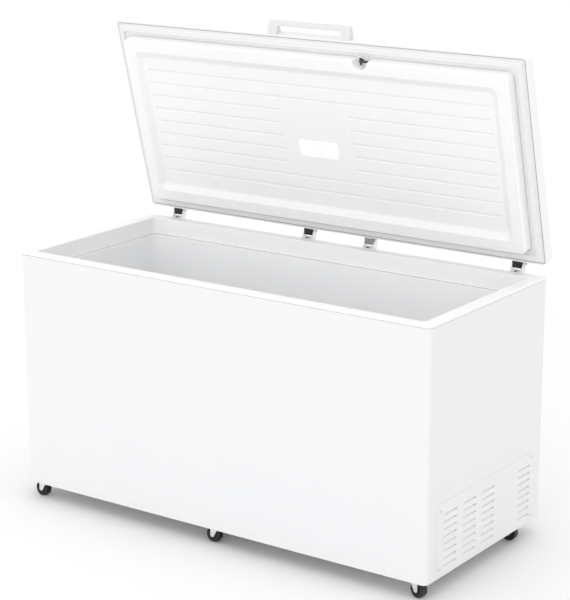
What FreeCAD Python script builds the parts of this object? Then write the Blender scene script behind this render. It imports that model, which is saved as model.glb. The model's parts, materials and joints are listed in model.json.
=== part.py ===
import FreeCAD
import Part
import math
import os

# Chest freezer on castors, with its lid held open by spring hinges.
# Millimetres. +X is to the right seen from the front, +Y to the rear, +Z up.
# The origin is on the floor, under the middle of the box that holds the freezer with its lid open.

# Driving dimensions: cabinet
CABINET_WIDTH = 1560.0
CABINET_DEPTH = 690.0
FLOOR_GAP = 52.0  # from the floor to the lower edge of the outer shell
SHELL_TOP = 834.5
FRONT_CORNER_R = 18.0
SHEET = 1.0
FRONT_Y = -365.0
REAR_Y = FRONT_Y + CABINET_DEPTH
HALF_WIDTH = CABINET_WIDTH / 2

# Collar, the white plastic frame around the tub's mouth
COLLAR_TOP = 844.5
COLLAR_BOTTOM = 835.5
COLLAR_WALL = 3.0
COLLAR_SIDE = 40.0
COLLAR_FRONT = 34.0
COLLAR_REAR = 38.0
COLLAR_SKIRT_BOTTOM = 786.5
COLLAR_INNER_R = 14.0

# Inner tub
LEDGE_WIDTH = 12.0
LEDGE_TOP = 785.5
LINER_WALL = 1.5
LINER_FLOOR = 112.0
LINER_CORNER_R = 25.0
LINER_FLOOR_R = 15.0
STEP_X = 452.0  # the tub is shallow to the right of this, over the compressor
STEP_TOP = 352.0

# Base, compressor compartment
BASE_Z = 72.0
BASE_SHEET = 1.5
BAY_LEFT = 517.5
BAY_FRONT = FRONT_Y + 57.0
BAY_TOP = 301.5
BULKHEAD = 1.5

# Lid, drawn closed and then turned open about the hinge line
LID_WIDTH = 1564.0
LID_DEPTH = 688.0
LID_UNDERSIDE = 855.5
LID_SKIRT = 41.0
LID_CORNER_R = 14.0
LID_TOP_R = 6.0
LID_SHEET = 1.2
LID_RIM = 4.0  # width of the skin's folded lower edge
LID_LINER_EDGE = 8.0  # where the inner panel's flange starts, behind a narrow groove
GASKET_OUTER = 9.0
GASKET_INNER = 44.0
BULB_OUTER = 15.0
BULB_INNER = 31.0
LID_OPEN_ANGLE = 75.0
PLUG_INSET = 46.0
PLUG_DRAFT = 2.0
PLUG_DEPTH = 40.0
LAND_INSET = 88.0
FIELD_INSET = 110.0
FIELD_DEPTH = 26.0
LID_LINER_WALL = 2.0
PLUG_CORNER_R = 20.0
PLUG_EDGE_R = 5.0
FIELD_EDGE_R = 12.0
PIVOT_Y = REAR_Y + 15.0
PIVOT_Z = LID_UNDERSIDE + 10.0

# Ribs pressed into the lid's inner panel
RIB_COUNT = 9
RIB_FIRST = 157.0  # from the lid's front edge
RIB_PITCH = 46.0
RIB_HALF_LENGTH = 655.0
RIB_WIDTH = 9.0
RIB_DEPTH = 2.2
RIB_GAP_HALF = 137.0  # plain panel around the lamp
SPLIT_RIBS = range(2, 7)

# Lamp window in the lid
LAMP_HALF_LENGTH = 70.0
LAMP_FRONT = 350.5
LAMP_REAR = 400.5

# Handle on the lid's front edge
HANDLE_HALF_LENGTH = 156.0
HANDLE_REACH = 41.0
HANDLE_LEG = 34.0
FINGER_GAP = 25.0
HANDLE_EDGE_R = 2.2

# Key lock
LOCK_X = 206.0
LOCK_FROM_FRONT = 54.0
LOCK_BARREL_R = 6.0
LOCK_SLEEVE_R = 9.0
LOCK_CLEARANCE = 0.08
NICHE_X = 211.0
NICHE_FROM_FRONT = 48.5
NICHE_R = 27.0
NICHE_MOUTH_R = 6.0
CAM_TOP = 839.0
CAM_THICKNESS = 3.0
CAM_REACH = 26.0

# Hinges
HINGE_X = (-671.0, -117.0, 125.0, 675.0)
PLAIN_HINGE = 2  # the third hinge has no spring
HINGE_PIN_R = 3.5
HINGE_HOLE_R = 3.55
EAR_INNER = 17.5
EAR_THICKNESS = 2.5
COVER_HALF = 16.5

# Castors
WHEEL_R = 25.0
WHEEL_WIDTH = 24.0
CASTOR_TRAIL = 18.0
AXLE_R = 3.0
FORK_SHEET = 2.0
CASTOR_FRONT_Y = FRONT_Y + 33.0
CASTOR_REAR_Y = REAR_Y - 109.0
CASTOR_X = 722.0
# kingpin x, kingpin y, direction of trail in degrees from +X
CASTORS = (
    (-CASTOR_X, CASTOR_FRONT_Y, 180.0),
    (0.0, CASTOR_FRONT_Y, 180.0),
    (CASTOR_X, CASTOR_FRONT_Y, -12.0),
    (-CASTOR_X, CASTOR_REAR_Y, 180.0),
    (0.0, CASTOR_REAR_Y, 180.0),
    (CASTOR_X, CASTOR_REAR_Y, 0.0),
)

# Side ventilation panel
PANEL_FRONT = FRONT_Y + 57.0
PANEL_REAR = FRONT_Y + 638.0
PANEL_BOTTOM = 54.0
PANEL_TOP = 287.0
LOUVRE_LENGTH = 80.0
LOUVRE_HEIGHT = 10.0
LOUVRE_ENDS = (173.0, 286.0, 399.0, 625.0)  # rear end of each column, from the cabinet's front
LOUVRE_ROWS = 8
LOUVRE_FIRST_Z = 86.0
LOUVRE_PITCH = 23.1
LOUVRE_INSET = 9.0

# Refrigeration
COMPRESSOR_X = 650.0
COMPRESSOR_Y = REAR_Y - 190.0
COMPRESSOR_R = 80.0
COMPRESSOR_BASE_Z = 91.0
TUBE_R = 3.0
EVAPORATOR_R = 4.0
EVAPORATOR_LOOPS = 6
EVAPORATOR_BOTTOM = 400.0
EVAPORATOR_PITCH = 50.0
EVAPORATOR_TOP = EVAPORATOR_BOTTOM + EVAPORATOR_LOOPS * EVAPORATOR_PITCH
SUCTION_Y = COMPRESSOR_Y + 40
CONDENSER_R = 2.4
CONDENSER_ROWS = 10

# Drain
DRAIN_X = -600.0
DRAIN_Y = FRONT_Y + 110.0
DRAIN_R = 10.0


def vec(x, y, z):
    return FreeCAD.Vector(x, y, z)


def polar(radius, degrees):
    angle = math.radians(degrees)
    return vec(radius * math.cos(angle), radius * math.sin(angle), 0)


def box(x0, x1, y0, y1, z0, z1):
    return Part.makeBox(x1 - x0, y1 - y0, z1 - z0, vec(x0, y0, z0))


def rod(x, y, z0, z1, radius):
    """Upright cylinder."""
    return Part.makeCylinder(radius, z1 - z0, vec(x, y, z0))


def rod_x(x0, x1, y, z, radius):
    return Part.makeCylinder(radius, x1 - x0, vec(x0, y, z), vec(1, 0, 0))


def rod_y(x, y0, y1, z, radius):
    return Part.makeCylinder(radius, y1 - y0, vec(x, y0, z), vec(0, 1, 0))


def rounded_wire(x0, x1, y0, y1, z, radii):
    """Rectangle outline at height z; radii run front-left, front-right, rear-right, rear-left."""
    corners = ((x0, y0, 1, 1, 180), (x1, y0, -1, 1, 270), (x1, y1, -1, -1, 0), (x0, y1, 1, -1, 90))
    stops = []
    for (x, y, side_x, side_y, start), radius in zip(corners, radii):
        centre = vec(x + side_x * radius, y + side_y * radius, z)
        stops.append([centre + polar(radius, start + turn) for turn in (0, 45, 90)])
    edges = []
    for index, (first, middle, last) in enumerate(stops):
        if radii[index] > 0:
            edges.append(Part.Arc(first, middle, last).toShape())
        following = stops[(index + 1) % 4][0]
        edges.append(Part.LineSegment(last, following).toShape())
    return Part.Wire(edges)


def rounded_prism(x0, x1, y0, y1, z0, z1, radii):
    wire = rounded_wire(x0, x1, y0, y1, z0, radii)
    return Part.Face(wire).extrude(vec(0, 0, z1 - z0))


def polygon_prism(points, direction):
    """Prism on a closed polygon of 3-D points."""
    corners = [vec(*point) for point in points]
    return Part.Face(Part.makePolygon(corners + corners[:1])).extrude(direction)


def fillet_at_height(shape, z, radius):
    """Round the edges that lie wholly at height z."""
    edges = [e for e in shape.Edges if abs(e.BoundBox.ZMin - z) < 0.01 and abs(e.BoundBox.ZMax - z) < 0.01]
    return shape.makeFillet(radius, edges)


def fillet_along(shape, axis, radius):
    """Round the straight edges that run along an axis."""
    edges = []
    for edge in shape.Edges:
        if edge.Curve.TypeId == "Part::GeomLine":
            run = edge.Vertexes[-1].Point - edge.Vertexes[0].Point
            if abs(abs(run.normalize().dot(axis)) - 1) < 1e-6:
                edges.append(edge)
    return shape.makeFillet(radius, edges)


def rounded_path(points, radius):
    """Straight runs joined by tangent arcs."""
    edges = []
    start = vec(*points[0])
    for before, corner, after in zip(points, points[1:], points[2:]):
        corner = vec(*corner)
        to_before = (vec(*before) - corner).normalize()
        to_after = (vec(*after) - corner).normalize()
        half_angle = to_before.getAngle(to_after) / 2
        setback = radius / math.tan(half_angle)
        entry = corner + to_before * setback
        leave = corner + to_after * setback
        bisector = (to_before + to_after).normalize()
        middle = corner + bisector * (radius / math.sin(half_angle) - radius)
        edges.append(Part.LineSegment(start, entry).toShape())
        edges.append(Part.Arc(entry, middle, leave).toShape())
        start = leave
    edges.append(Part.LineSegment(start, vec(*points[-1])).toShape())
    return Part.Wire(edges)


def tube(path, radius):
    """Round bar swept along a path."""
    first = path.Edges[0]
    start = first.valueAt(first.FirstParameter)
    heading = first.tangentAt(first.FirstParameter)
    profile = Part.Wire(Part.makeCircle(radius, start, heading))
    return path.makePipeShell([profile], True, True)


def bent_tube(points, bend_radius, radius):
    return tube(rounded_path(points, bend_radius), radius)


def group(shapes):
    return Part.makeCompound(shapes)


def opened(shape):
    """A lid piece drawn closed, turned to the open lid's place."""
    turned = shape.copy()
    turned.rotate(vec(0, PIVOT_Y, PIVOT_Z), vec(1, 0, 0), -LID_OPEN_ANGLE)
    return turned


# Cabinet shell


def inside_shell(z0, z1):
    """The space inside the outer shell, from its rounded front corners to the back panel."""
    inner = HALF_WIDTH - SHEET
    corner = FRONT_CORNER_R - SHEET
    return rounded_prism(-inner, inner, FRONT_Y + SHEET, REAR_Y - SHEET, z0, z1, (corner, corner, 0, 0))


def panel_opening():
    """Opening in the right side behind the ventilation panel."""
    return box(HALF_WIDTH - 2, HALF_WIDTH + 2, FRONT_Y + 86, FRONT_Y + 627, 68, 256)


def panel_screw_places():
    """Height and distance from the cabinet's front of the ventilation panel's screws."""
    return ((FRONT_Y + 77, 262), (FRONT_Y + 71, 80), (FRONT_Y + 632, 270), (FRONT_Y + 632, 76))


def panel_screw_shanks():
    return [rod_x(HALF_WIDTH - 8, HALF_WIDTH + SHEET, y, z, 1.8) for y, z in panel_screw_places()]


def outer_shell():
    radii = (FRONT_CORNER_R, FRONT_CORNER_R, 0, 0)
    outside = rounded_prism(-HALF_WIDTH, HALF_WIDTH, FRONT_Y, REAR_Y, FLOOR_GAP, SHELL_TOP, radii)
    inner = HALF_WIDTH - SHEET
    corner = FRONT_CORNER_R - SHEET
    inside = rounded_prism(-inner, inner, FRONT_Y + SHEET, REAR_Y + 1, FLOOR_GAP, SHELL_TOP, (corner, corner, 0, 0))
    return outside.cut([inside, panel_opening()] + panel_screw_shanks())


def hinge_screw_places():
    return [(x + side * 11, z) for x in HINGE_X for side in (-1, 1) for z in (802, 820)]


def hinge_screw_shanks():
    return [rod_y(x, REAR_Y - 10, REAR_Y, z, 2.2) for x, z in hinge_screw_places()]


THERMOSTAT_X = 590.0
THERMOSTAT_Z = 235.0
GLAND_X = 735.0
GLAND_Z = 105.0
GLAND_R = 8.0


def back_panel():
    inner = HALF_WIDTH - SHEET
    sheet = box(-inner, inner, REAR_Y - SHEET, REAR_Y, FLOOR_GAP, SHELL_TOP)
    slots = []
    for row in range(8):
        for x in (640.0, 700.0):
            slots.append(box(x - 22, x + 22, REAR_Y - 2, REAR_Y + 1, 130 + row * 18, 136 + row * 18))
    holes = [
        rod_y(THERMOSTAT_X, REAR_Y - 2, REAR_Y + 1, THERMOSTAT_Z, 4.2),
        rod_y(GLAND_X, REAR_Y - 2, REAR_Y + 1, GLAND_Z, GLAND_R),
    ]
    return sheet.cut(slots + holes + hinge_screw_shanks())


def base_pan():
    return inside_shell(BASE_Z, BASE_Z + BASE_SHEET).cut(rod(DRAIN_X, DRAIN_Y, BASE_Z - 1, BASE_Z + 3, DRAIN_R))


def bulkhead():
    """Sheet walls and roof of the compressor compartment."""
    inner = HALF_WIDTH - SHEET
    floor_z = BASE_Z + BASE_SHEET
    outside = box(BAY_LEFT, inner, BAY_FRONT, REAR_Y - SHEET, floor_z, BAY_TOP)
    inside = box(BAY_LEFT + BULKHEAD, inner + 1, BAY_FRONT + BULKHEAD, REAR_Y, floor_z, BAY_TOP - BULKHEAD)
    return outside.cut([inside, suction_tube()])


def top_collar():
    corner = FRONT_CORNER_R
    outside = rounded_prism(
        -HALF_WIDTH, HALF_WIDTH, FRONT_Y, REAR_Y, COLLAR_BOTTOM, COLLAR_TOP, (corner, corner, 3.2, 3.2))
    inner = HALF_WIDTH - COLLAR_WALL
    corner = FRONT_CORNER_R - COLLAR_WALL
    underneath = rounded_prism(
        -inner, inner, FRONT_Y + COLLAR_WALL, REAR_Y - COLLAR_WALL,
        COLLAR_BOTTOM, COLLAR_TOP - COLLAR_WALL, (corner, corner, 0.2, 0.2))
    skirt = collar_mouth(COLLAR_SKIRT_BOTTOM, COLLAR_TOP - 1, COLLAR_WALL)
    mouth = collar_mouth(COLLAR_SKIRT_BOTTOM, COLLAR_TOP, 0)
    frame = outside.cut(underneath).fuse(skirt).cut(mouth).removeSplitter()
    frame = fillet_at_height(frame, COLLAR_TOP, 2.5)
    slot = box(LOCK_X - 18, LOCK_X + 22, FRONT_Y + 28, FRONT_Y + 40, COLLAR_TOP - 18, COLLAR_TOP - 4.5)
    return frame.cut(slot)


def collar_mouth(z0, z1, grow):
    """The collar's opening as a solid, made larger all round by grow."""
    half = HALF_WIDTH - COLLAR_SIDE + grow
    radius = COLLAR_INNER_R + grow
    front = FRONT_Y + COLLAR_FRONT - grow
    rear = REAR_Y - COLLAR_REAR + grow
    return rounded_prism(-half, half, front, rear, z0, z1, (radius,) * 4)


def tub(grow, z_top):
    """The tub's inner space as a solid, made larger all round by grow, with the step cut off it."""
    half = HALF_WIDTH - COLLAR_SIDE - LEDGE_WIDTH + grow
    front = FRONT_Y + COLLAR_FRONT + LEDGE_WIDTH - grow
    rear = REAR_Y - COLLAR_REAR - LEDGE_WIDTH + grow
    floor_z = LINER_FLOOR - grow
    space = rounded_prism(-half, half, front, rear, floor_z, z_top, (LINER_CORNER_R + grow,) * 4)
    space = fillet_at_height(space, floor_z, LINER_FLOOR_R + grow)
    step = box(STEP_X + grow, half + 1, front - 1, rear + 1, floor_z - 1, STEP_TOP - grow)
    return space.cut(step)


def inner_liner():
    shell = tub(LINER_WALL, LEDGE_TOP).cut(tub(0, LEDGE_TOP))
    ledge = collar_mouth(LEDGE_TOP - LINER_WALL, LEDGE_TOP, COLLAR_WALL).cut(tub(LINER_WALL, LEDGE_TOP + 1))
    drain = rod(DRAIN_X, DRAIN_Y, LINER_FLOOR - 5, LINER_FLOOR + 5, DRAIN_R)
    return shell.fuse(ledge).removeSplitter().cut(drain)


def evaporator_pocket():
    grow = LINER_WALL + 2 * EVAPORATOR_R + 1.5
    half = HALF_WIDTH - COLLAR_SIDE - LEDGE_WIDTH + grow
    front = FRONT_Y + COLLAR_FRONT + LEDGE_WIDTH - grow
    rear = REAR_Y - COLLAR_REAR - LEDGE_WIDTH + grow
    top = EVAPORATOR_TOP + 10
    return rounded_prism(-half, half, front, rear, EVAPORATOR_BOTTOM - 10, top, (LINER_CORNER_R + grow,) * 4)


def cabinet_foam():
    lower = inside_shell(BASE_Z + BASE_SHEET, SHELL_TOP - 1)
    inner = HALF_WIDTH - COLLAR_WALL
    corner = FRONT_CORNER_R - COLLAR_WALL
    upper = rounded_prism(
        -inner, inner, FRONT_Y + COLLAR_WALL, REAR_Y - COLLAR_WALL,
        SHELL_TOP - 1, COLLAR_TOP - COLLAR_WALL, (corner, corner, 0, 0))
    mouth = collar_mouth(LEDGE_TOP - LINER_WALL, COLLAR_TOP, COLLAR_WALL)
    bay = box(BAY_LEFT, HALF_WIDTH, BAY_FRONT, REAR_Y, BASE_Z, BAY_TOP)
    condenser_pocket = box(-705, 705, FRONT_Y, FRONT_Y + SHEET + 6, 130, 770)
    keeper = box(LOCK_X - 22, LOCK_X + 26, FRONT_Y + 20, FRONT_Y + 32, COLLAR_TOP - 22, COLLAR_TOP)
    drain = rod(DRAIN_X, DRAIN_Y, BASE_Z, LINER_FLOOR + 5, DRAIN_R)
    holes = [mouth, tub(LINER_WALL, LEDGE_TOP), evaporator_pocket(), bay, condenser_pocket, keeper, drain]
    holes.append(suction_tube())
    return lower.fuse(upper).cut(holes + hinge_screw_shanks() + panel_screw_shanks())


# Ventilation panel


def louvre_blade(y0, y1, z0):
    """Blade pressed inwards from the slot's lower edge, with a web at its front end."""
    face = HALF_WIDTH + SHEET
    top = z0 + LOUVRE_HEIGHT - 1.5
    back = face - LOUVRE_INSET
    blade = polygon_prism(
        ((face, y0, z0), (back, y0, top), (back - SHEET, y0, top), (face - SHEET, y0, z0)), vec(0, y1 - y0, 0))
    web = polygon_prism(
        ((face, y0, z0), (face, y0, top), (back, y0, top)), vec(0, SHEET, 0))
    return [blade, web]


def side_panel():
    plate = box(HALF_WIDTH, HALF_WIDTH + SHEET, PANEL_FRONT, PANEL_REAR, PANEL_BOTTOM, PANEL_TOP)
    plate = fillet_along(plate, vec(1, 0, 0), 8)
    slots = []
    blades = []
    for end in LOUVRE_ENDS:
        for row in range(LOUVRE_ROWS):
            y1 = FRONT_Y + end
            y0 = y1 - LOUVRE_LENGTH
            z0 = LOUVRE_FIRST_Z + row * LOUVRE_PITCH - LOUVRE_HEIGHT
            slots.append(box(HALF_WIDTH - 1, HALF_WIDTH + 2, y0, y1, z0, z0 + LOUVRE_HEIGHT))
            blades += louvre_blade(y0, y1, z0)
    return plate.cut(slots + panel_screw_shanks()).fuse(blades)


def pan_head(radius, height, facing):
    """Rounded screw head with a cross recess, its seat at the origin, facing along an axis."""
    head = fillet_at_height(rod(0, 0, 0, height, radius), height, height * 0.45)
    reach = radius * 0.6
    slot = box(-reach, reach, -radius / 8, radius / 8, height * 0.5, height + 1)
    crossed = slot.copy()
    crossed.rotate(vec(0, 0, 0), vec(0, 0, 1), 90)
    head = head.cut([slot, crossed])
    head.Placement = FreeCAD.Placement(vec(0, 0, 0), FreeCAD.Rotation(vec(0, 0, 1), facing))
    return head


def screw(seat, facing, shank, head_radius, head_height):
    head = pan_head(head_radius, head_height, facing)
    head.translate(seat)
    return head.fuse(shank)


def panel_screws():
    face = HALF_WIDTH + SHEET
    places = zip(panel_screw_places(), panel_screw_shanks())
    return [screw(vec(face, y, z), vec(1, 0, 0), shank, 4, 1.8) for (y, z), shank in places]


# Refrigeration parts


FOOT_PLACES = [(COMPRESSOR_X + dx, COMPRESSOR_Y + dy) for dx in (-82, 82) for dy in (-50, 50)]


def compressor_shell():
    z = COMPRESSOR_BASE_Z
    r = COMPRESSOR_R
    outline = [
        Part.LineSegment(vec(0, 0, z + 2.5), vec(r - 25, 0, z + 2.5)).toShape(),
        Part.Arc(vec(r - 25, 0, z + 2.5), vec(r - 7.3, 0, z + 9.8), vec(r, 0, z + 27.5)).toShape(),
        Part.LineSegment(vec(r, 0, z + 27.5), vec(r, 0, z + 115)).toShape(),
        Part.Arc(vec(r, 0, z + 115), vec(r - 16, 0, z + 153), vec(r - 55, 0, z + 168)).toShape(),
        Part.LineSegment(vec(r - 55, 0, z + 168), vec(0, 0, z + 168)).toShape(),
        Part.LineSegment(vec(0, 0, z + 168), vec(0, 0, z + 2.5)).toShape(),
    ]
    shell = Part.Face(Part.Wire(outline)).revolve(vec(0, 0, 0), vec(0, 0, 1), 360)
    shell.translate(vec(COMPRESSOR_X, COMPRESSOR_Y, 0))
    return shell


def compressor():
    z = COMPRESSOR_BASE_Z
    seam = rod(COMPRESSOR_X, COMPRESSOR_Y, z + 88, z + 92, COMPRESSOR_R + 3)
    foot = rounded_prism(
        COMPRESSOR_X - 98, COMPRESSOR_X + 98, COMPRESSOR_Y - 66, COMPRESSOR_Y + 66, z, z + 2.5, (14,) * 4)
    holes = [rod(x, y, z - 1, z + 4, 5) for x, y in FOOT_PLACES]
    windings = rod(COMPRESSOR_X, COMPRESSOR_Y, z + 12, z + 150, 61)
    windings = fillet_at_height(fillet_at_height(windings, z + 150, 25), z + 12, 10)
    return compressor_shell().cut(windings).fuse([seam, foot.cut(holes)])


TRAY_TOP = BASE_Z + BASE_SHEET + 2.5


def compressor_tray():
    low = BASE_Z + BASE_SHEET
    plate = box(BAY_LEFT + 10, HALF_WIDTH - 10, COMPRESSOR_Y - 80, COMPRESSOR_Y + 80, low, TRAY_TOP)
    lips = [box(BAY_LEFT + 10, HALF_WIDTH - 10, y, y + 2.5, low, low + 14) for y in
            (COMPRESSOR_Y - 82.5, COMPRESSOR_Y + 80)]
    studs = []
    for x, y in FOOT_PLACES:
        studs += [rod(x, y, low, COMPRESSOR_BASE_Z + 8, 4), rod(x, y, COMPRESSOR_BASE_Z + 2.5, COMPRESSOR_BASE_Z + 7, 7)]
    return plate.fuse(lips + studs)


def compressor_grommets():
    rings = []
    for x, y in FOOT_PLACES:
        ring = rod(x, y, TRAY_TOP, COMPRESSOR_BASE_Z, 12).cut(rod(x, y, TRAY_TOP, COMPRESSOR_BASE_Z, 4))
        rings.append(fillet_at_height(ring, TRAY_TOP, 1.5))
    return group(rings)


def relay_cover():
    x = COMPRESSOR_X
    y = COMPRESSOR_Y - COMPRESSOR_R
    z = COMPRESSOR_BASE_Z + 45
    block = box(x - 32, x + 32, y - 32, y + 12, z, z + 62)
    block = fillet_along(block, vec(0, 1, 0), 5)
    return block.cut(rod(COMPRESSOR_X, COMPRESSOR_Y, z - 1, z + 70, COMPRESSOR_R + 3))


def filter_drier():
    return fillet_at_height(fillet_at_height(rod(562, REAR_Y - 60, 130, 220, 10), 130, 6), 220, 6)


def discharge_tube():
    """From the compressor up to the roof and down into the drier."""
    x = COMPRESSOR_X - COMPRESSOR_R
    z = COMPRESSOR_BASE_Z + 60
    points = (
        (x + 1, COMPRESSOR_Y, z), (x - 22, COMPRESSOR_Y, z), (x - 22, COMPRESSOR_Y, 284),
        (562, REAR_Y - 100, 284), (562, REAR_Y - 60, 284), (562, REAR_Y - 60, 220))
    return bent_tube(points, 8, TUBE_R).cut(compressor_shell())


def suction_tube():
    """From the evaporator's outlet, down in the side wall's foam, to the compressor's dome."""
    riser_x = HALF_WIDTH - 22
    points = (
        (COMPRESSOR_X, SUCTION_Y, COMPRESSOR_BASE_Z + 140), (COMPRESSOR_X, SUCTION_Y, 280),
        (riser_x, SUCTION_Y, 280), (riser_x, SUCTION_Y, EVAPORATOR_TOP),
        (HALF_WIDTH - 41.5, SUCTION_Y, EVAPORATOR_TOP))
    return bent_tube(points, 12, TUBE_R + 1).cut(compressor_shell())


def evaporator_coil():
    """One tube wound round the tub, rising a little along each side."""
    offset = LINER_WALL + EVAPORATOR_R + 0.7
    half = HALF_WIDTH - COLLAR_SIDE - LEDGE_WIDTH + offset
    front = FRONT_Y + COLLAR_FRONT + LEDGE_WIDTH - offset
    rear = REAR_Y - COLLAR_REAR - LEDGE_WIDTH + offset
    corners = ((half, rear), (-half, rear), (-half, front), (half, front))
    points = [(half, COMPRESSOR_Y - 60, EVAPORATOR_BOTTOM)]
    for turn in range(4 * EVAPORATOR_LOOPS):
        x, y = corners[turn % 4]
        points.append((x, y, EVAPORATOR_BOTTOM + (turn + 1) * EVAPORATOR_PITCH / 4))
    points.append((half, SUCTION_Y + 10, EVAPORATOR_TOP))
    return bent_tube(points, LINER_CORNER_R + offset, EVAPORATOR_R)


def condenser_coil():
    """Serpentine behind the front sheet."""
    y = FRONT_Y + SHEET + 3
    reach = 690.0
    pitch = 62.0
    points = []
    for row in range(CONDENSER_ROWS):
        z = 150 + row * pitch
        ends = (-reach, reach) if row % 2 == 0 else (reach, -reach)
        points += [(ends[0], y, z), (ends[1], y, z)]
    return bent_tube(points, 22, CONDENSER_R)


# Thermostat, gland and drain


def thermostat_body():
    case = box(THERMOSTAT_X - 24, THERMOSTAT_X + 24, REAR_Y - SHEET - 26, REAR_Y - SHEET,
               THERMOSTAT_Z - 18, THERMOSTAT_Z + 18)
    neck = rod_y(THERMOSTAT_X, REAR_Y - SHEET, REAR_Y + 1, THERMOSTAT_Z, 4.2)
    bore = rod_y(THERMOSTAT_X, REAR_Y - 16, REAR_Y + 2, THERMOSTAT_Z, 3.05)
    return fillet_along(case, vec(0, 1, 0), 3).fuse(neck).cut(bore)


def thermostat_knob():
    face = REAR_Y + 1.5
    knob = rod_y(THERMOSTAT_X, face, face + 15, THERMOSTAT_Z, 17)
    grips = []
    for step in range(12):
        place = polar(18.2, step * 30)
        grips.append(rod_y(THERMOSTAT_X + place.x, face + 3, face + 16, THERMOSTAT_Z + place.y, 2.4))
    pointer = box(THERMOSTAT_X - 0.8, THERMOSTAT_X + 0.8, face + 14, face + 16, THERMOSTAT_Z + 5, THERMOSTAT_Z + 15)
    shaft = rod_y(THERMOSTAT_X, REAR_Y - 14, face + 1, THERMOSTAT_Z, 3)
    return knob.cut(grips + [pointer]).fuse(shaft)


def cord_gland():
    sleeve = rod_y(GLAND_X, REAR_Y - 15, REAR_Y, GLAND_Z, GLAND_R)
    flange = rod_y(GLAND_X, REAR_Y, REAR_Y + 3, GLAND_Z, 12)
    bore = rod_y(GLAND_X, REAR_Y - 16, REAR_Y + 4, GLAND_Z, 4.2)
    return sleeve.fuse(flange).cut(bore)


def drain_tube():
    pipe = rod(DRAIN_X, DRAIN_Y, 60, LINER_FLOOR - LINER_WALL, DRAIN_R)
    mouth = rod(DRAIN_X, DRAIN_Y, LINER_FLOOR - LINER_WALL, LINER_FLOOR, DRAIN_R)
    return pipe.fuse(mouth).cut(rod(DRAIN_X, DRAIN_Y, 50, LINER_FLOOR + 1, DRAIN_R - 2)).removeSplitter()


def drain_plug():
    stem = rod(DRAIN_X, DRAIN_Y, LINER_FLOOR - 12, LINER_FLOOR + 0.5, DRAIN_R - 2.4)
    head = rod(DRAIN_X, DRAIN_Y, LINER_FLOOR + 0.4, LINER_FLOOR + 4, 16)
    grip = box(DRAIN_X - 10, DRAIN_X + 10, DRAIN_Y - 2, DRAIN_Y + 2, LINER_FLOOR + 3, LINER_FLOOR + 14)
    grip = fillet_along(grip, vec(0, 1, 0), 4)
    return stem.fuse([fillet_at_height(head, LINER_FLOOR + 4, 1.5), grip])


def drain_cap():
    outside = rod(DRAIN_X, DRAIN_Y, 54, 68, DRAIN_R + 3.5)
    outside = fillet_at_height(outside, 54, 1.5)
    inside = rod(DRAIN_X, DRAIN_Y, 59.6, 69, DRAIN_R + 0.4)
    notches = []
    for step in range(12):
        place = polar(DRAIN_R + 4.3, step * 30)
        notches.append(rod(DRAIN_X + place.x, DRAIN_Y + place.y, 53, 69, 1.6))
    return outside.cut([inside] + notches)


# Castors


def castor_plates():
    plates = []
    for x, y, _ in CASTORS:
        plate = rounded_prism(x - 26, x + 26, y - 23, y + 23, BASE_Z - 2.5, BASE_Z, (5,) * 4)
        boss = Part.makeCone(13, 17, 4, vec(x, y, BASE_Z - 6.5))
        kingpin = rod(x, y, 59, BASE_Z - 5, 5)
        head = rod(x, y, 57.5, 62.6, 8)
        plates.append(plate.fuse([boss, kingpin, head]))
    return group(plates)


def placed_castor(shape, site):
    x, y, heading = site
    moved = shape.copy()
    moved.rotate(vec(0, 0, 0), vec(0, 0, 1), heading)
    moved.translate(vec(x, y, 0))
    return moved


def fork():
    crown = rod(0, 0, 63, 65, 20).cut(rod(0, 0, 60, 67, 5.3))
    legs = []
    for side in (-1, 1):
        inner = side * 13.0
        top = polygon_prism(
            ((-12, inner, 65), (24, inner, 65), (25.4, inner, 26), (11.5, inner, 21)), vec(0, side * FORK_SHEET, 0))
        y0 = min(inner, inner + side * FORK_SHEET)
        eye = rod_y(CASTOR_TRAIL, y0, y0 + FORK_SHEET, WHEEL_R, 7.5)
        leg = top.fuse(eye).cut(rod_y(CASTOR_TRAIL, -20, 20, WHEEL_R, AXLE_R))
        legs.append(leg)
    bridge = box(-12, 24, -15, 15, 63, 65).cut(rod(0, 0, 60, 67, 5.3))
    return crown.fuse([bridge] + legs).removeSplitter()


def axle():
    pin = rod_y(CASTOR_TRAIL, -15, 15, WHEEL_R, AXLE_R)
    heads = [rod_y(CASTOR_TRAIL, y, y + 1.8, WHEEL_R, 5) for y in (-16.8, 15)]
    return pin.fuse(heads)


def wheel():
    half = WHEEL_WIDTH / 2
    tread = 3.0
    outline = [
        (AXLE_R + 0.05, half + 0.5), (7, half + 0.5), (8, half - 2), (17, half - 2), (18.5, half),
        (WHEEL_R - tread, half)]
    mirrored = [(r, -y) for r, y in reversed(outline)]
    edges = []
    for (r0, y0), (r1, y1) in zip(outline, outline[1:]):
        edges.append(Part.LineSegment(vec(r0, y0, 0), vec(r1, y1, 0)).toShape())
    slope = tread * (1 - math.sqrt(0.5))
    for side in (1, -1):
        face = vec(WHEEL_R - tread, side * half, 0)
        rim = vec(WHEEL_R, side * (half - tread), 0)
        middle = vec(WHEEL_R - slope, side * (half - slope), 0)
        edges.append(Part.Arc(face, middle, rim).toShape())
    edges.append(Part.LineSegment(vec(WHEEL_R, half - tread, 0), vec(WHEEL_R, tread - half, 0)).toShape())
    for (r0, y0), (r1, y1) in zip(mirrored, mirrored[1:]):
        edges.append(Part.LineSegment(vec(r0, y0, 0), vec(r1, y1, 0)).toShape())
    bore = AXLE_R + 0.05
    edges.append(Part.LineSegment(vec(bore, -half - 0.5, 0), vec(bore, half + 0.5, 0)).toShape())
    wire = Part.Wire(Part.__sortEdges__(edges))
    disc = Part.Face(wire).revolve(vec(0, 0, 0), vec(0, 1, 0), 360)
    disc.translate(vec(CASTOR_TRAIL, 0, WHEEL_R))
    return disc


# Lid


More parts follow.
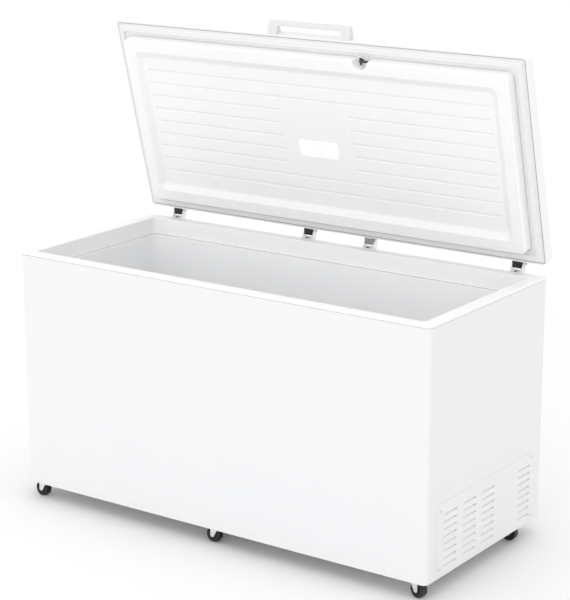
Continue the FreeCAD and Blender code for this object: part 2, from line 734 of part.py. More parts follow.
LID_HALF = LID_WIDTH / 2
LID_REAR = FRONT_Y + LID_DEPTH
LID_TOP = LID_UNDERSIDE + LID_SKIRT
FIELD_Z = LID_UNDERSIDE - FIELD_DEPTH


def lid_outline(inset, z, radius):
    return rounded_wire(
        -LID_HALF + inset, LID_HALF - inset, FRONT_Y + inset, LID_REAR - inset, z, (radius,) * 4)


def lid_block(inset, z0, z1, radius):
    return Part.Face(lid_outline(inset, z0, radius)).extrude(vec(0, 0, z1 - z0))


def lid_taper(inset0, z0, radius0, inset1, z1, radius1):
    wires = [lid_outline(inset0, z0, radius0), lid_outline(inset1, z1, radius1)]
    return Part.makeLoft(wires, True, True)


def handle_screw_shanks():
    return [rod_y(x, FRONT_Y - 14, FRONT_Y + LID_SHEET, LID_UNDERSIDE + 20, 2.5) for x in (-139, 139)]


def lock_bore(radius):
    return rod(LOCK_X, FRONT_Y + LOCK_FROM_FRONT, CAM_TOP - 10, LID_TOP + 5, radius)


def lid_hinge_screw_places():
    return [(x + side * 9, PIVOT_Z + 19) for x in HINGE_X for side in (-1, 1)]


def lid_hinge_screw_shanks():
    return [rod_y(x, LID_REAR - 10, LID_REAR, z, 2) for x, z in lid_hinge_screw_places()]


def lid_skin():
    outside = fillet_at_height(lid_block(0, LID_UNDERSIDE, LID_TOP, LID_CORNER_R), LID_TOP, LID_TOP_R)
    inside = lid_inside(LID_UNDERSIDE + LID_SHEET)
    opening = lid_block(LID_RIM, LID_UNDERSIDE - 1, LID_UNDERSIDE + 2, LID_CORNER_R - LID_RIM)
    tools = [inside, opening, lock_bore(LOCK_SLEEVE_R)] + handle_screw_shanks() + lid_hinge_screw_shanks()
    return outside.cut(tools)


def lid_inside(z0):
    """Space inside the lid's skin, from z0 up."""
    top = LID_TOP - LID_SHEET
    block = lid_block(LID_SHEET, z0, top, LID_CORNER_R - LID_SHEET)
    return fillet_at_height(block, top, LID_TOP_R - LID_SHEET)


def rib_grooves(wall):
    """Solids of all the ribs' round-bottomed grooves, cut upwards into the inner panel."""
    radius = (RIB_WIDTH ** 2 / 4 + RIB_DEPTH ** 2) / (2 * RIB_DEPTH)
    z = FIELD_Z + RIB_DEPTH - radius
    solids = []
    for index in range(RIB_COUNT):
        y = FRONT_Y + RIB_FIRST + index * RIB_PITCH
        runs = [(-RIB_HALF_LENGTH, RIB_HALF_LENGTH)]
        if index in SPLIT_RIBS:
            runs = [(-RIB_HALF_LENGTH, -RIB_GAP_HALF), (RIB_GAP_HALF, RIB_HALF_LENGTH)]
        for x0, x1 in runs:
            groove = rod_x(x0, x1, y, z, radius + wall)
            ends = [Part.makeSphere(radius + wall, vec(x, y, z)) for x in (x0, x1)]
            solids.append(groove.fuse(ends))
    return solids


def plug(wall):
    """The raised inner panel as a solid; wall 0 is its face, and a larger wall its foam side."""
    base = LID_UNDERSIDE + LID_LINER_WALL
    low = LID_UNDERSIDE - PLUG_DEPTH + wall
    field = FIELD_Z + wall
    corner = PLUG_CORNER_R - wall / 2
    body = lid_taper(PLUG_INSET + wall, base, corner, PLUG_INSET + PLUG_DRAFT + wall, low, corner)
    recess = lid_taper(LAND_INSET - wall, low, 24, FIELD_INSET - wall, field, 16)
    niche_y = FRONT_Y + NICHE_FROM_FRONT
    niche = rod(NICHE_X, niche_y, low - 1, LID_UNDERSIDE + wall, NICHE_R + wall)
    # The cylinder's seam is turned to the rear, away from the edges that are rounded next.
    niche.rotate(vec(NICHE_X, niche_y, 0), vec(0, 0, 1), 90)
    body = body.cut([recess, niche])
    mouth = []
    for edge in body.Edges:
        middle = edge.CenterOfMass
        if edge.BoundBox.ZLength > 25 and abs(middle.x - NICHE_X) < 40 and middle.y < niche_y + 5:
            mouth.append(edge)
    body = body.makeFillet(NICHE_MOUTH_R - wall, mouth)
    body = fillet_at_height(body, low, PLUG_EDGE_R - wall)
    return fillet_at_height(body, field, FIELD_EDGE_R + wall)


def lamp_hole(grow, z0, z1):
    return rounded_prism(
        -LAMP_HALF_LENGTH - grow, LAMP_HALF_LENGTH + grow,
        FRONT_Y + LAMP_FRONT - grow, FRONT_Y + LAMP_REAR + grow, z0, z1, (8 + grow,) * 4)


def lid_liner():
    face = plug(0).cut(rib_grooves(0))
    back = plug(LID_LINER_WALL).cut(rib_grooves(LID_LINER_WALL))
    flange = lid_block(LID_LINER_EDGE, LID_UNDERSIDE, LID_UNDERSIDE + LID_LINER_WALL, 6)
    flange = flange.cut(lid_block(PLUG_INSET + 1, LID_UNDERSIDE - 1, LID_UNDERSIDE + 3, 20))
    lamp = lamp_hole(3, FIELD_Z - 1, FIELD_Z + 3)
    return face.cut(back).fuse(flange).removeSplitter().cut([lamp, lock_bore(LOCK_SLEEVE_R)])


def lid_foam():
    back = plug(LID_LINER_WALL).cut(rib_grooves(LID_LINER_WALL))
    upper = lid_inside(LID_UNDERSIDE + LID_LINER_WALL)
    lamp = lamp_hole(3, FIELD_Z, FIELD_Z + 24)
    heads = [rod_y(x, FRONT_Y + LID_SHEET, FRONT_Y + LID_SHEET + 3, LID_UNDERSIDE + 20, 5) for x in (-139, 139)]
    return upper.fuse(back).removeSplitter().cut([lamp, lock_bore(LOCK_SLEEVE_R)] + heads + lid_hinge_screw_shanks())


def lid_gasket():
    base_z = LID_UNDERSIDE - 3
    base = lid_block(GASKET_OUTER, base_z, LID_UNDERSIDE, 6)
    base = base.cut(lid_block(GASKET_INNER, base_z, LID_UNDERSIDE, 18))
    bulb_z = COLLAR_TOP + 0.5
    bulb = lid_block(BULB_OUTER, bulb_z, base_z, 6).cut(lid_block(BULB_INNER, bulb_z, base_z, 10))
    bulb = fillet_at_height(bulb, bulb_z, 2)
    return base.fuse(bulb).removeSplitter()


def lid_handle():
    """Wedge-ended grip: two legs against the lid's front edge, joined by a bar at the tip."""
    low = LID_UNDERSIDE + 4
    high = LID_UNDERSIDE + 34
    y = FRONT_Y
    tip = y - HANDLE_REACH
    end = -HANDLE_HALF_LENGTH
    profile = (
        (end, y, low), (end, y, high), (end, tip + 5, high), (end, tip, high - 4),
        (end, tip, high - 10), (end, tip + 6, high - 15))
    bar = polygon_prism(profile, vec(2 * HANDLE_HALF_LENGTH, 0, 0))
    half = HANDLE_HALF_LENGTH - HANDLE_LEG
    gap = box(-half, half, y - FINGER_GAP, y + 20, low - 1, high + 1)
    gap = fillet_along(gap, vec(0, 0, 1), 8)
    body = bar.cut(gap)
    edges = [e for e in body.Edges if e.BoundBox.YMin < y - 0.01]
    body = body.makeFillet(HANDLE_EDGE_R, edges)
    return body.cut(handle_screw_shanks())


def lamp_base():
    low = FIELD_Z
    tray = lamp_hole(3, low, low + 24).cut(lamp_hole(0.5, low, low + 22))
    return tray


def lamp_lens():
    cover = fillet_at_height(lamp_hole(5, FIELD_Z - 2, FIELD_Z, ), FIELD_Z - 2, 1.2)
    step = lamp_hole(0.4, FIELD_Z, FIELD_Z + 2)
    return cover.fuse(step)


def lamp_board():
    middle = FRONT_Y + (LAMP_FRONT + LAMP_REAR) / 2
    z = FIELD_Z + 20
    board = box(-60, 60, middle - 15, middle + 15, z, z + 2)
    leds = [box(x - 3, x + 3, middle - 3, middle + 3, z - 1.5, z) for x in (-45, -15, 15, 45)]
    return board.fuse(leds)


def lock_sleeve():
    y = FRONT_Y + LOCK_FROM_FRONT
    tube_part = rod(LOCK_X, y, LID_UNDERSIDE, LID_TOP, LOCK_SLEEVE_R)
    washer = fillet_at_height(rod(LOCK_X, y, LID_TOP, LID_TOP + 2, 13), LID_TOP + 2, 1)
    collar = rod(LOCK_X, y, LID_UNDERSIDE - 8, LID_UNDERSIDE, LOCK_SLEEVE_R)
    collar = fillet_at_height(collar, LID_UNDERSIDE - 8, 1)
    return tube_part.fuse([washer, collar]).cut(lock_bore(LOCK_BARREL_R + LOCK_CLEARANCE))


def lock_cam():
    """Key barrel with its cam; the arm points to the right when unlocked."""
    y = FRONT_Y + LOCK_FROM_FRONT
    barrel = rod(LOCK_X, y, CAM_TOP - CAM_THICKNESS, LID_TOP + 1, LOCK_BARREL_R)
    bar = box(LOCK_X - 4, LOCK_X + 4, y - 12, y + 12, CAM_TOP - CAM_THICKNESS, CAM_TOP)
    arm = box(LOCK_X, LOCK_X + CAM_REACH, y - 4, y + 4, CAM_TOP - CAM_THICKNESS, CAM_TOP)
    key_slot = box(LOCK_X - 3.5, LOCK_X + 3.5, y - 0.6, y + 0.6, LID_TOP - 3, LID_TOP + 2)
    cam = fillet_along(bar.fuse(arm).removeSplitter(), vec(0, 0, 1), 1.5)
    return barrel.fuse(cam).cut(key_slot)


# Hinges


def cabinet_leaves():
    """Zinc brackets on the cabinet's rear, each with two ears for the pin."""
    leaves = []
    web_top = PIVOT_Z - 13
    for x in HINGE_X:
        reach = EAR_INNER + EAR_THICKNESS
        plate = box(x - reach, x + reach, REAR_Y, REAR_Y + EAR_THICKNESS, PIVOT_Z - 73, web_top)
        foot = box(x - reach, x + reach, REAR_Y - 10, REAR_Y, COLLAR_TOP, COLLAR_TOP + EAR_THICKNESS)
        ears = []
        for x0 in (x - reach, x + EAR_INNER):
            sheet = polygon_prism(
                ((x0, REAR_Y, PIVOT_Z - 57), (x0, REAR_Y, PIVOT_Z - 17), (x0, PIVOT_Y - 8.5, PIVOT_Z),
                 (x0, PIVOT_Y + 8.5, PIVOT_Z), (x0, PIVOT_Y + 5, PIVOT_Z - 31)), vec(EAR_THICKNESS, 0, 0))
            ears.append(sheet.fuse(rod_x(x0, x0 + EAR_THICKNESS, PIVOT_Y, PIVOT_Z, 8.5)))
        screw_holes = [rod_y(sx, REAR_Y - 1, REAR_Y + 5, sz, 2.2) for sx, sz in hinge_screw_places()]
        pin_hole = rod_x(x - 30, x + 30, PIVOT_Y, PIVOT_Z, HINGE_HOLE_R)
        leaves.append(plate.fuse([foot] + ears).removeSplitter().cut(screw_holes + [pin_hole]))
    return group(leaves)


def cabinet_screws():
    screws = panel_screws()
    y = REAR_Y + EAR_THICKNESS
    for (x, z), shank in zip(hinge_screw_places(), hinge_screw_shanks()):
        shank = shank.fuse(rod_y(x, REAR_Y, y, z, 2.2))
        screws.append(screw(vec(x, y, z), vec(0, 1, 0), shank, 4.2, 2.4))
    return group(screws)


def hinge_pins():
    pins = []
    for x in HINGE_X:
        reach = EAR_INNER + EAR_THICKNESS
        pin = rod_x(x - reach - 2, x + reach + 2, PIVOT_Y, PIVOT_Z, HINGE_PIN_R)
        heads = [rod_x(x0, x0 + 2, PIVOT_Y, PIVOT_Z, 6) for x0 in (x - reach - 2, x + reach)]
        pins.append(pin.fuse(heads))
    return group(pins)


def hinge_springs():
    """Torsion coils round the pins of the sprung hinges, each between its two knuckles."""
    springs = []
    wire_r = 0.9
    coil_r = 5.4
    for index, x in enumerate(HINGE_X):
        if index != PLAIN_HINGE:
            helix = Part.makeHelix(2.2, 13.2, coil_r)
            start = vec(coil_r, 0, 0)
            profile = Part.Wire(Part.makeCircle(wire_r, start, vec(0, 1, 0)))
            coil = Part.Wire(helix).makePipeShell([profile], True, True)
            coil.rotate(vec(0, 0, 0), vec(0, 1, 0), 90)
            coil.translate(vec(x - 6.6, PIVOT_Y, PIVOT_Z))
            springs.append(coil)
    return group(springs)


def lid_leaves():
    """Zinc leaves on the lid's rear edge, each with two knuckles and a stop tab."""
    leaves = []
    face = LID_REAR
    for index, x in enumerate(HINGE_X):
        right = 15 if index == PLAIN_HINGE else 36
        plate = box(x - 15, x + right, face, face + 2.5, PIVOT_Z - 8, PIVOT_Z + 24)
        pieces = []
        if index != PLAIN_HINGE:
            pieces.append(box(x + 21, x + 36, face, face + 10, PIVOT_Z - 8, PIVOT_Z - 5.5))
        for x0 in (x - 15, x + 8.5):
            knuckle = rod_x(x0, x0 + 6.5, PIVOT_Y, PIVOT_Z, 6.5)
            web = box(x0, x0 + 6.5, face, PIVOT_Y, PIVOT_Z - 4, PIVOT_Z + 4)
            pieces += [knuckle, web]
        pin_hole = rod_x(x - 30, x + 30, PIVOT_Y, PIVOT_Z, HINGE_HOLE_R)
        holes = [rod_y(sx, face - 1, face + 4, sz, 2) for sx, sz in lid_hinge_screw_places()]
        leaves.append(plate.fuse(pieces).removeSplitter().cut([pin_hole] + holes))
    return group(leaves)


def hinge_covers():
    """Caps over the knuckles and springs, open towards the lid."""
    covers = []
    face = LID_REAR + 2.5
    for x in HINGE_X:
        outside = box(x - COVER_HALF, x + COVER_HALF, face, PIVOT_Y + 9.5, PIVOT_Z - 9, PIVOT_Z + 14)
        outside = fillet_along(outside, vec(1, 0, 0), 2)
        inside = box(x - COVER_HALF + 1.3, x + COVER_HALF - 1.3, face - 1, PIVOT_Y + 7.7, PIVOT_Z - 7.4, PIVOT_Z + 12.5)
        pin_hole = rod_x(x - 30, x + 30, PIVOT_Y, PIVOT_Z, 4.2)
        covers.append(outside.cut([inside, pin_hole]))
    return covers


def sprung_covers():
    return group([cover for index, cover in enumerate(hinge_covers()) if index != PLAIN_HINGE])


def plain_cover():
    return hinge_covers()[PLAIN_HINGE]


def lid_screws():
    """Screws of the lid's hinge leaves, and of the handle, whose heads are inside the skin."""
    screws = []
    face = LID_REAR + 2.5
    for (x, z), shank in zip(lid_hinge_screw_places(), lid_hinge_screw_shanks()):
        shank = shank.fuse(rod_y(x, LID_REAR, face, z, 2))
        screws.append(screw(vec(x, face, z), vec(0, 1, 0), shank, 3.6, 2))
    y = FRONT_Y + LID_SHEET
    for x, shank in zip((-139, 139), handle_screw_shanks()):
        screws.append(shank.fuse(rod_y(x, y, y + 3, LID_UNDERSIDE + 20, 5)))
    return group(screws)


FIXED_PARTS = {
    "outer_shell": outer_shell,
    "back_panel": back_panel,
    "base_pan": base_pan,
    "compressor_bulkhead": bulkhead,
    "cabinet_foam": cabinet_foam,
    "inner_liner": inner_liner,
    "top_collar": top_collar,
    "side_vent_panel": side_panel,
    "compressor": compressor,
    "compressor_tray": compressor_tray,
    "compressor_grommets": compressor_grommets,
    "relay_cover": relay_cover,
    "filter_drier": filter_drier,
    "discharge_tube": discharge_tube,
    "suction_tube": suction_tube,
    "evaporator_coil": evaporator_coil,
    "condenser_coil": condenser_coil,
    "thermostat_body": thermostat_body,
    "thermostat_knob": thermostat_knob,
    "cord_gland": cord_gland,
    "drain_tube": drain_tube,
    "drain_plug": drain_plug,
    "drain_cap": drain_cap,
    "castor_plates": castor_plates,
    "hinge_cabinet_leaves": cabinet_leaves,
    "cabinet_screws": cabinet_screws,
    "hinge_pins": hinge_pins,
    "hinge_springs": hinge_springs,
}

LID_PARTS = {
    "lid_skin": lid_skin,
    "lid_foam": lid_foam,
    "lid_liner": lid_liner,
    "lid_gasket": lid_gasket,
    "lid_handle": lid_handle,
    "lid_screws": lid_screws,
    "lamp_base": lamp_base,
    "lamp_lens": lamp_lens,
    "lamp_board": lamp_board,
    "lock_sleeve": lock_sleeve,
    "lock_cam": lock_cam,
    "hinge_lid_leaves": lid_leaves,
    "hinge_spring_covers": sprung_covers,
    "hinge_plain_cover": plain_cover,
}

CASTOR_PARTS = {"castor_fork": fork, "castor_axle": axle, "castor_wheel": wheel}


def save(shape, name):
    shape.exportStep(os.path.join("parts", name + ".step"))


def main():
    os.makedirs("parts", exist_ok=True)
    for name, make in FIXED_PARTS.items():
        save(make(), name)
    for name, make in LID_PARTS.items():
        save(opened(make()), name)
    for name, make in CASTOR_PARTS.items():
        shape = make()
        for number, site in enumerate(CASTORS, 1):
            save(placed_castor(shape, site), f"{name}_{number}")


main()
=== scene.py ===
import json
import math

import bmesh
import bpy
from mathutils import Matrix, Vector

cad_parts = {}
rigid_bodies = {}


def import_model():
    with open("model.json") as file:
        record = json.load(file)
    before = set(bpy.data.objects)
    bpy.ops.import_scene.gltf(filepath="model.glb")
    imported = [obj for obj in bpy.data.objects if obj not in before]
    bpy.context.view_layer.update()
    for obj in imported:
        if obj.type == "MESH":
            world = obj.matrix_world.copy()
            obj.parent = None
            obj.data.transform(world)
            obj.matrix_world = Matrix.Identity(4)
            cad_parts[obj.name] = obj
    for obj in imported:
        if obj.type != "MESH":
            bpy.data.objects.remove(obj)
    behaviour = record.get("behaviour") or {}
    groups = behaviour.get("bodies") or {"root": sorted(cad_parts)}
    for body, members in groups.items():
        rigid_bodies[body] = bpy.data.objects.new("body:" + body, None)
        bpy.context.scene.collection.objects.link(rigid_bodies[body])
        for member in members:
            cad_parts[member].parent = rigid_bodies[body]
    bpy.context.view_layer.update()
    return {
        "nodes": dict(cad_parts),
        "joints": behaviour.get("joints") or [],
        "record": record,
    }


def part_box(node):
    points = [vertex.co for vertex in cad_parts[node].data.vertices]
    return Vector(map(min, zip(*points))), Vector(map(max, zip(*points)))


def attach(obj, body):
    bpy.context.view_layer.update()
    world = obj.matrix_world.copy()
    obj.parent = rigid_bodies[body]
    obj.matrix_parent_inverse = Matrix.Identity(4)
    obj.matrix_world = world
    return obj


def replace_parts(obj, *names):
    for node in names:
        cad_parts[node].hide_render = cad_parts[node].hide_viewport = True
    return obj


# The looks of a chest freezer on castors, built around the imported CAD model. Metres throughout.

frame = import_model()
NODES = frame["nodes"]
JOINTS = {joint["name"]: joint for joint in frame["joints"]}
MM = 0.001

# The lid's pieces are drawn closed, where its edges are square to the axes, and then turned open.
LID_PIVOT = Vector(JOINTS["lid_hinge"]["pos_m"])
LID_TURN = math.radians(JOINTS["lid_hinge"]["range_deg"][1])
LID_TILT = Matrix.Rotation(-LID_TURN, 4, "X")
OPENED = Matrix.Translation(LID_PIVOT) @ LID_TILT @ Matrix.Translation(-LID_PIVOT)


def closed_box(node):
    """Lowest and highest corner of one of the lid's nodes, with the lid closed."""
    back = OPENED.inverted()
    points = [back @ vertex.co for vertex in NODES[node].data.vertices]
    low = Vector([min(point[axis] for point in points) for axis in range(3)])
    high = Vector([max(point[axis] for point in points) for axis in range(3)])
    return low, high


# Materials


def new_shader(name, colour, roughness, metallic=0.0):
    material = bpy.data.materials.new(name)
    material.use_nodes = True
    shader = material.node_tree.nodes["Principled BSDF"]
    shader.inputs["Base Color"].default_value = (*colour, 1)
    shader.inputs["Roughness"].default_value = roughness
    shader.inputs["Metallic"].default_value = metallic
    return material, material.node_tree, shader


def object_coordinates(tree, stretch=(1, 1, 1)):
    coordinates = tree.nodes.new("ShaderNodeTexCoord")
    mapping = tree.nodes.new("ShaderNodeMapping")
    mapping.inputs["Scale"].default_value = stretch
    tree.links.new(coordinates.outputs["Object"], mapping.inputs["Vector"])
    return mapping.outputs["Vector"]


def noise(tree, scale, detail=2.0, stretch=(1, 1, 1)):
    node = tree.nodes.new("ShaderNodeTexNoise")
    node.inputs["Scale"].default_value = scale
    node.inputs["Detail"].default_value = detail
    tree.links.new(object_coordinates(tree, stretch), node.inputs["Vector"])
    return node.outputs["Fac"]


def cells(tree, scale, feature="F1", output="Distance"):
    node = tree.nodes.new("ShaderNodeTexVoronoi")
    node.feature = feature
    node.inputs["Scale"].default_value = scale
    tree.links.new(object_coordinates(tree), node.inputs["Vector"])
    return node.outputs[output]


def remap(tree, value, from_low, from_high, to_low, to_high, clamp=False):
    node = tree.nodes.new("ShaderNodeMapRange")
    node.clamp = clamp
    limits = {"From Min": from_low, "From Max": from_high, "To Min": to_low, "To Max": to_high}
    for socket, number in limits.items():
        node.inputs[socket].default_value = number
    tree.links.new(value, node.inputs["Value"])
    return node.outputs["Result"]


def blend_colours(tree, factor, colour_a, colour_b):
    node = tree.nodes.new("ShaderNodeMix")
    node.data_type = "RGBA"
    tree.links.new(factor, node.inputs["Factor"])
    for socket, colour in zip((node.inputs[6], node.inputs[7]), (colour_a, colour_b)):
        if isinstance(colour, tuple):
            socket.default_value = (*colour, 1)
        else:
            tree.links.new(colour, socket)
    return node.outputs[2]


def paint(tree, shader, factor, colour_a, colour_b):
    """The base colour: one colour where the factor is 0, and the other where it is 1."""
    tree.links.new(blend_colours(tree, factor, colour_a, colour_b), shader.inputs["Base Color"])


def gloss(tree, shader, value, *limits):
    """The roughness, from a pattern: its from low, from high, to low and to high."""
    tree.links.new(remap(tree, value, *limits), shader.inputs["Roughness"])


def bump(tree, shader, height, strength, distance, normal=None):
    node = tree.nodes.new("ShaderNodeBump")
    node.inputs["Strength"].default_value = strength
    node.inputs["Distance"].default_value = distance
    tree.links.new(height, node.inputs["Height"])
    if normal is not None:
        tree.links.new(normal, node.inputs["Normal"])
    tree.links.new(node.outputs["Normal"], shader.inputs["Normal"])
    return node.outputs["Normal"]


def enamel(name, colour, shade, roughness=(0.31, 0.41)):
    """Baked enamel on sheet steel: faint orange peel, slow ripples and soft changes of gloss."""
    material, tree, shader = new_shader(name, colour, roughness[0])
    shader.inputs["Coat Weight"].default_value = 0.35
    shader.inputs["Coat Roughness"].default_value = 0.12
    paint(tree, shader, noise(tree, 2.3, 2), colour, shade)
    gloss(tree, shader, noise(tree, 9, 3), 0.2, 0.8, *roughness)
    ripple = bump(tree, shader, noise(tree, 5, 1), 0.03, 0.004)
    bump(tree, shader, noise(tree, 170, 2), 0.03, 0.0006, ripple)
    return material


def moulded(name, colour, shade, roughness, grain=900, strength=0.12):
    """Moulded plastic with a fine spark-eroded grain."""
    material, tree, shader = new_shader(name, colour, roughness)
    paint(tree, shader, noise(tree, 3.1, 2), colour, shade)
    gloss(tree, shader, noise(tree, 24, 5), 0.3, 0.7, roughness - 0.06, roughness + 0.08)
    bump(tree, shader, noise(tree, grain, 3), strength, 0.0004)
    return material


def panel_plastic(name):
    """White moulded panel, greyer down in the grooves as painted shade, where the mesh's painted-shade
    attribute is high.
    """
    material = moulded(name, (0.90, 0.902, 0.906), (0.885, 0.888, 0.893), 0.38)
    tree = material.node_tree
    shader = tree.nodes["Principled BSDF"]
    rib_groove_shade = tree.nodes.new("ShaderNodeAttribute")
    rib_groove_shade.attribute_name = "rib_groove_shade"
    unshaded_colour = shader.inputs["Base Color"].links[0].from_socket
    # Painted shade: the grooves' grey, blended over the panel's own colour.
    paint(tree, shader, rib_groove_shade.outputs["Fac"], unshaded_colour, (0.74, 0.75, 0.77))
    return material


def coated_liner(name):
    """White coated aluminium of the tub, with a fine rolled stucco."""
    colour, shade = (0.93, 0.935, 0.94), (0.905, 0.91, 0.915)
    material, tree, shader = new_shader(name, colour, 0.4)
    paint(tree, shader, noise(tree, 3, 2), colour, shade)
    gloss(tree, shader, noise(tree, 15, 4), 0.3, 0.7, 0.34, 0.46)
    bump(tree, shader, cells(tree, 260, "SMOOTH_F1"), 0.12, 0.0008)
    return material


def soft_seal(name):
    """Soft grey PVC of the gasket."""
    colour, shade = (0.82, 0.825, 0.83), (0.785, 0.792, 0.80)
    material, tree, shader = new_shader(name, colour, 0.55)
    shader.inputs["Sheen Weight"].default_value = 0.15
    paint(tree, shader, noise(tree, 7, 3), colour, shade)
    gloss(tree, shader, noise(tree, 60, 3), 0.3, 0.7, 0.48, 0.62)
    bump(tree, shader, noise(tree, 500, 2), 0.08, 0.0004)
    return material


def plated(name, colour, shade, roughness):
    """Zinc plate: spangled patches, each with its own gloss."""
    material, tree, shader = new_shader(name, colour, roughness, 1.0)
    patch = cells(tree, 300, output="Color")
    value = tree.nodes.new("ShaderNodeRGBToBW")
    tree.links.new(patch, value.inputs["Color"])
    paint(tree, shader, value.outputs["Val"], colour, shade)
    gloss(tree, shader, value.outputs["Val"], 0, 1, roughness - 0.08, roughness + 0.14)
    bump(tree, shader, noise(tree, 700, 3), 0.08, 0.0003)
    return material


def drawn_metal(name, colour, shade, roughness):
    """Drawn tube or wire, stained unevenly along its length."""
    material, tree, shader = new_shader(name, colour, roughness, 1.0)
    stain = remap(tree, noise(tree, 18, 5), 0.35, 0.7, 0, 1, True)
    paint(tree, shader, stain, colour, shade)
    gloss(tree, shader, noise(tree, 90, 3), 0.3, 0.7, roughness - 0.1, roughness + 0.15)
    bump(tree, shader, noise(tree, 1200, 2), 0.05, 0.0002)
    return material


def rigid_foam(name):
    """Yellow foam with open cells."""
    colour, shade = (0.80, 0.68, 0.42), (0.66, 0.53, 0.29)
    material, tree, shader = new_shader(name, colour, 0.9)
    paint(tree, shader, noise(tree, 30, 5), colour, shade)
    bump(tree, shader, cells(tree, 420), 0.5, 0.0015)
    return material


def wheel_rubber(name):
    """Black wheels, greyed by dust in patches."""
    colour, dust = (0.008, 0.008, 0.009), (0.025, 0.024, 0.023)
    material, tree, shader = new_shader(name, colour, 0.55)
    dusty = remap(tree, noise(tree, 70, 6), 0.5, 0.75, 0, 1, True)
    paint(tree, shader, dusty, colour, dust)
    gloss(tree, shader, dusty, 0, 1, 0.42, 0.75)
    bump(tree, shader, noise(tree, 600, 3), 0.15, 0.0004)
    return material


def lamp_diffuser(name):
    """Frosted lamp cover, lit from behind."""
    material, tree, shader = new_shader(name, (0.93, 0.93, 0.93), 0.3)
    shader.inputs["Emission Color"].default_value = (1, 1, 1, 1)
    shader.inputs["Emission Strength"].default_value = 0.1
    gloss(tree, shader, noise(tree, 40, 2), 0.2, 0.8, 0.32, 0.4)
    bump(tree, shader, noise(tree, 800, 2), 0.06, 0.0003)
    return material


def circuit_board(name):
    """Green board with a pattern of tracks."""
    colour, copper = (0.03, 0.16, 0.06), (0.06, 0.26, 0.10)
    material, tree, shader = new_shader(name, colour, 0.35)
    bricks = tree.nodes.new("ShaderNodeTexBrick")
    bricks.inputs["Scale"].default_value = 90
    tree.links.new(object_coordinates(tree), bricks.inputs["Vector"])
    paint(tree, shader, bricks.outputs["Fac"], colour, copper)
    bump(tree, shader, bricks.outputs["Fac"], 0.2, 0.0003)
    return material


MATERIALS = {
    "white_sheet": enamel("white_sheet", (0.80, 0.805, 0.813), (0.788, 0.793, 0.803)),
    "white_liner": coated_liner("white_liner"),
    "white_plastic": moulded("white_plastic", (0.92, 0.922, 0.925), (0.90, 0.903, 0.908), 0.38),
    "insulation": rigid_foam("insulation"),
    "grey_gasket": soft_seal("grey_gasket"),
    "zinc": plated("zinc", (0.84, 0.845, 0.85), (0.73, 0.745, 0.76), 0.4),
    "black_plastic": moulded("black_plastic", (0.008, 0.008, 0.009), (0.014, 0.014, 0.015), 0.42, 700, 0.2),
    "grey_metal": moulded("grey_metal", (0.30, 0.31, 0.32), (0.25, 0.26, 0.27), 0.45, 800, 0.15),
    "dark_steel": drawn_metal("dark_steel", (0.13, 0.13, 0.14), (0.08, 0.08, 0.085), 0.42),
    "black_enamel": enamel("black_enamel", (0.012, 0.012, 0.014), (0.02, 0.02, 0.022), (0.31, 0.42)),
    "wheel_black": wheel_rubber("wheel_black"),
    "copper": drawn_metal("copper", (0.72, 0.36, 0.22), (0.42, 0.19, 0.11), 0.42),
    "alloy_tube": drawn_metal("alloy_tube", (0.75, 0.76, 0.77), (0.58, 0.59, 0.6), 0.42),
    "clear_lens": lamp_diffuser("clear_lens"),
    "circuit_board": circuit_board("circuit_board"),
}

# Painted light: a lighter copy of the white enamel for the lid's skin, so that the lid reads brighter than
# the cabinet's sides.
LIGHTENED_LID_ENAMEL = enamel("lid_enamel_painted_light", (0.87, 0.873, 0.878), (0.857, 0.861, 0.868))
# Painted shade: the handle's plastic is greyed for the shade on its faces.
SHADED_HANDLE_PLASTIC = moulded("handle_plastic_painted_shade", (0.73, 0.735, 0.745), (0.70, 0.707, 0.718), 0.4)
# Plastic of the lid's inner panel, with painted shade in its rib grooves.
RIB_SHADED_PLASTIC = panel_plastic("panel_plastic")
# Painted shade: the grey of the strip in the lid's edge groove.
EDGE_SHADE_GREY = moulded("edge_shade_grey", (0.50, 0.505, 0.52), (0.45, 0.455, 0.47), 0.5)
# The lid's skin takes the copy with painted light, and the handle takes the copy with painted shade.
PAINTED_LIGHT_AND_SHADE_FINISH = {"lid_skin": LIGHTENED_LID_ENAMEL, "lid_handle": SHADED_HANDLE_PLASTIC}

for part in frame["record"]["subparts"]:
    mesh = NODES[part["node"]].data
    mesh.materials.clear()
    mesh.materials.append(PAINTED_LIGHT_AND_SHADE_FINISH.get(part["node"], MATERIALS[part["material_slot"]]))

# Mesh tools


def make_piece(name, mesh, body, slot, smooth_degrees=38.0, finish=None):
    """A named object from a mesh, smoothed, on a CAD body, in its slot's finish or its own."""
    mesh.polygons.foreach_set("use_smooth", [True] * len(mesh.polygons))
    mesh.set_sharp_from_angle(angle=math.radians(smooth_degrees))
    mesh.materials.append(finish or MATERIALS[slot])
    piece = bpy.data.objects.new(name, mesh)
    bpy.context.scene.collection.objects.link(piece)
    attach(piece, body)
    return piece


def mesh_from(points, faces, placing=None):
    mesh = bpy.data.meshes.new("mesh")
    mesh.from_pydata(points, [], faces)
    if placing is not None:
        mesh.transform(placing)
    mesh.validate()
    return mesh


def rings_to_mesh(rings, close_rings=True, placing=None, join_ends=False, cap_ends=False):
    """Quads between rings of equal length; join_ends makes the last ring meet the first."""
    count = len(rings[0])
    points = [point for ring in rings for point in ring]
    faces = []
    spans = len(rings) if join_ends else len(rings) - 1
    steps = count if close_rings else count - 1
    for span in range(spans):
        first = span * count
        second = ((span + 1) % len(rings)) * count
        for step in range(steps):
            following = (step + 1) % count
            faces.append((first + step, first + following, second + following, second + step))
    if cap_ends:
        faces.append(tuple(range(count - 1, -1, -1)))
        faces.append(tuple(range(len(points) - count, len(points))))
    return mesh_from(points, faces, placing)


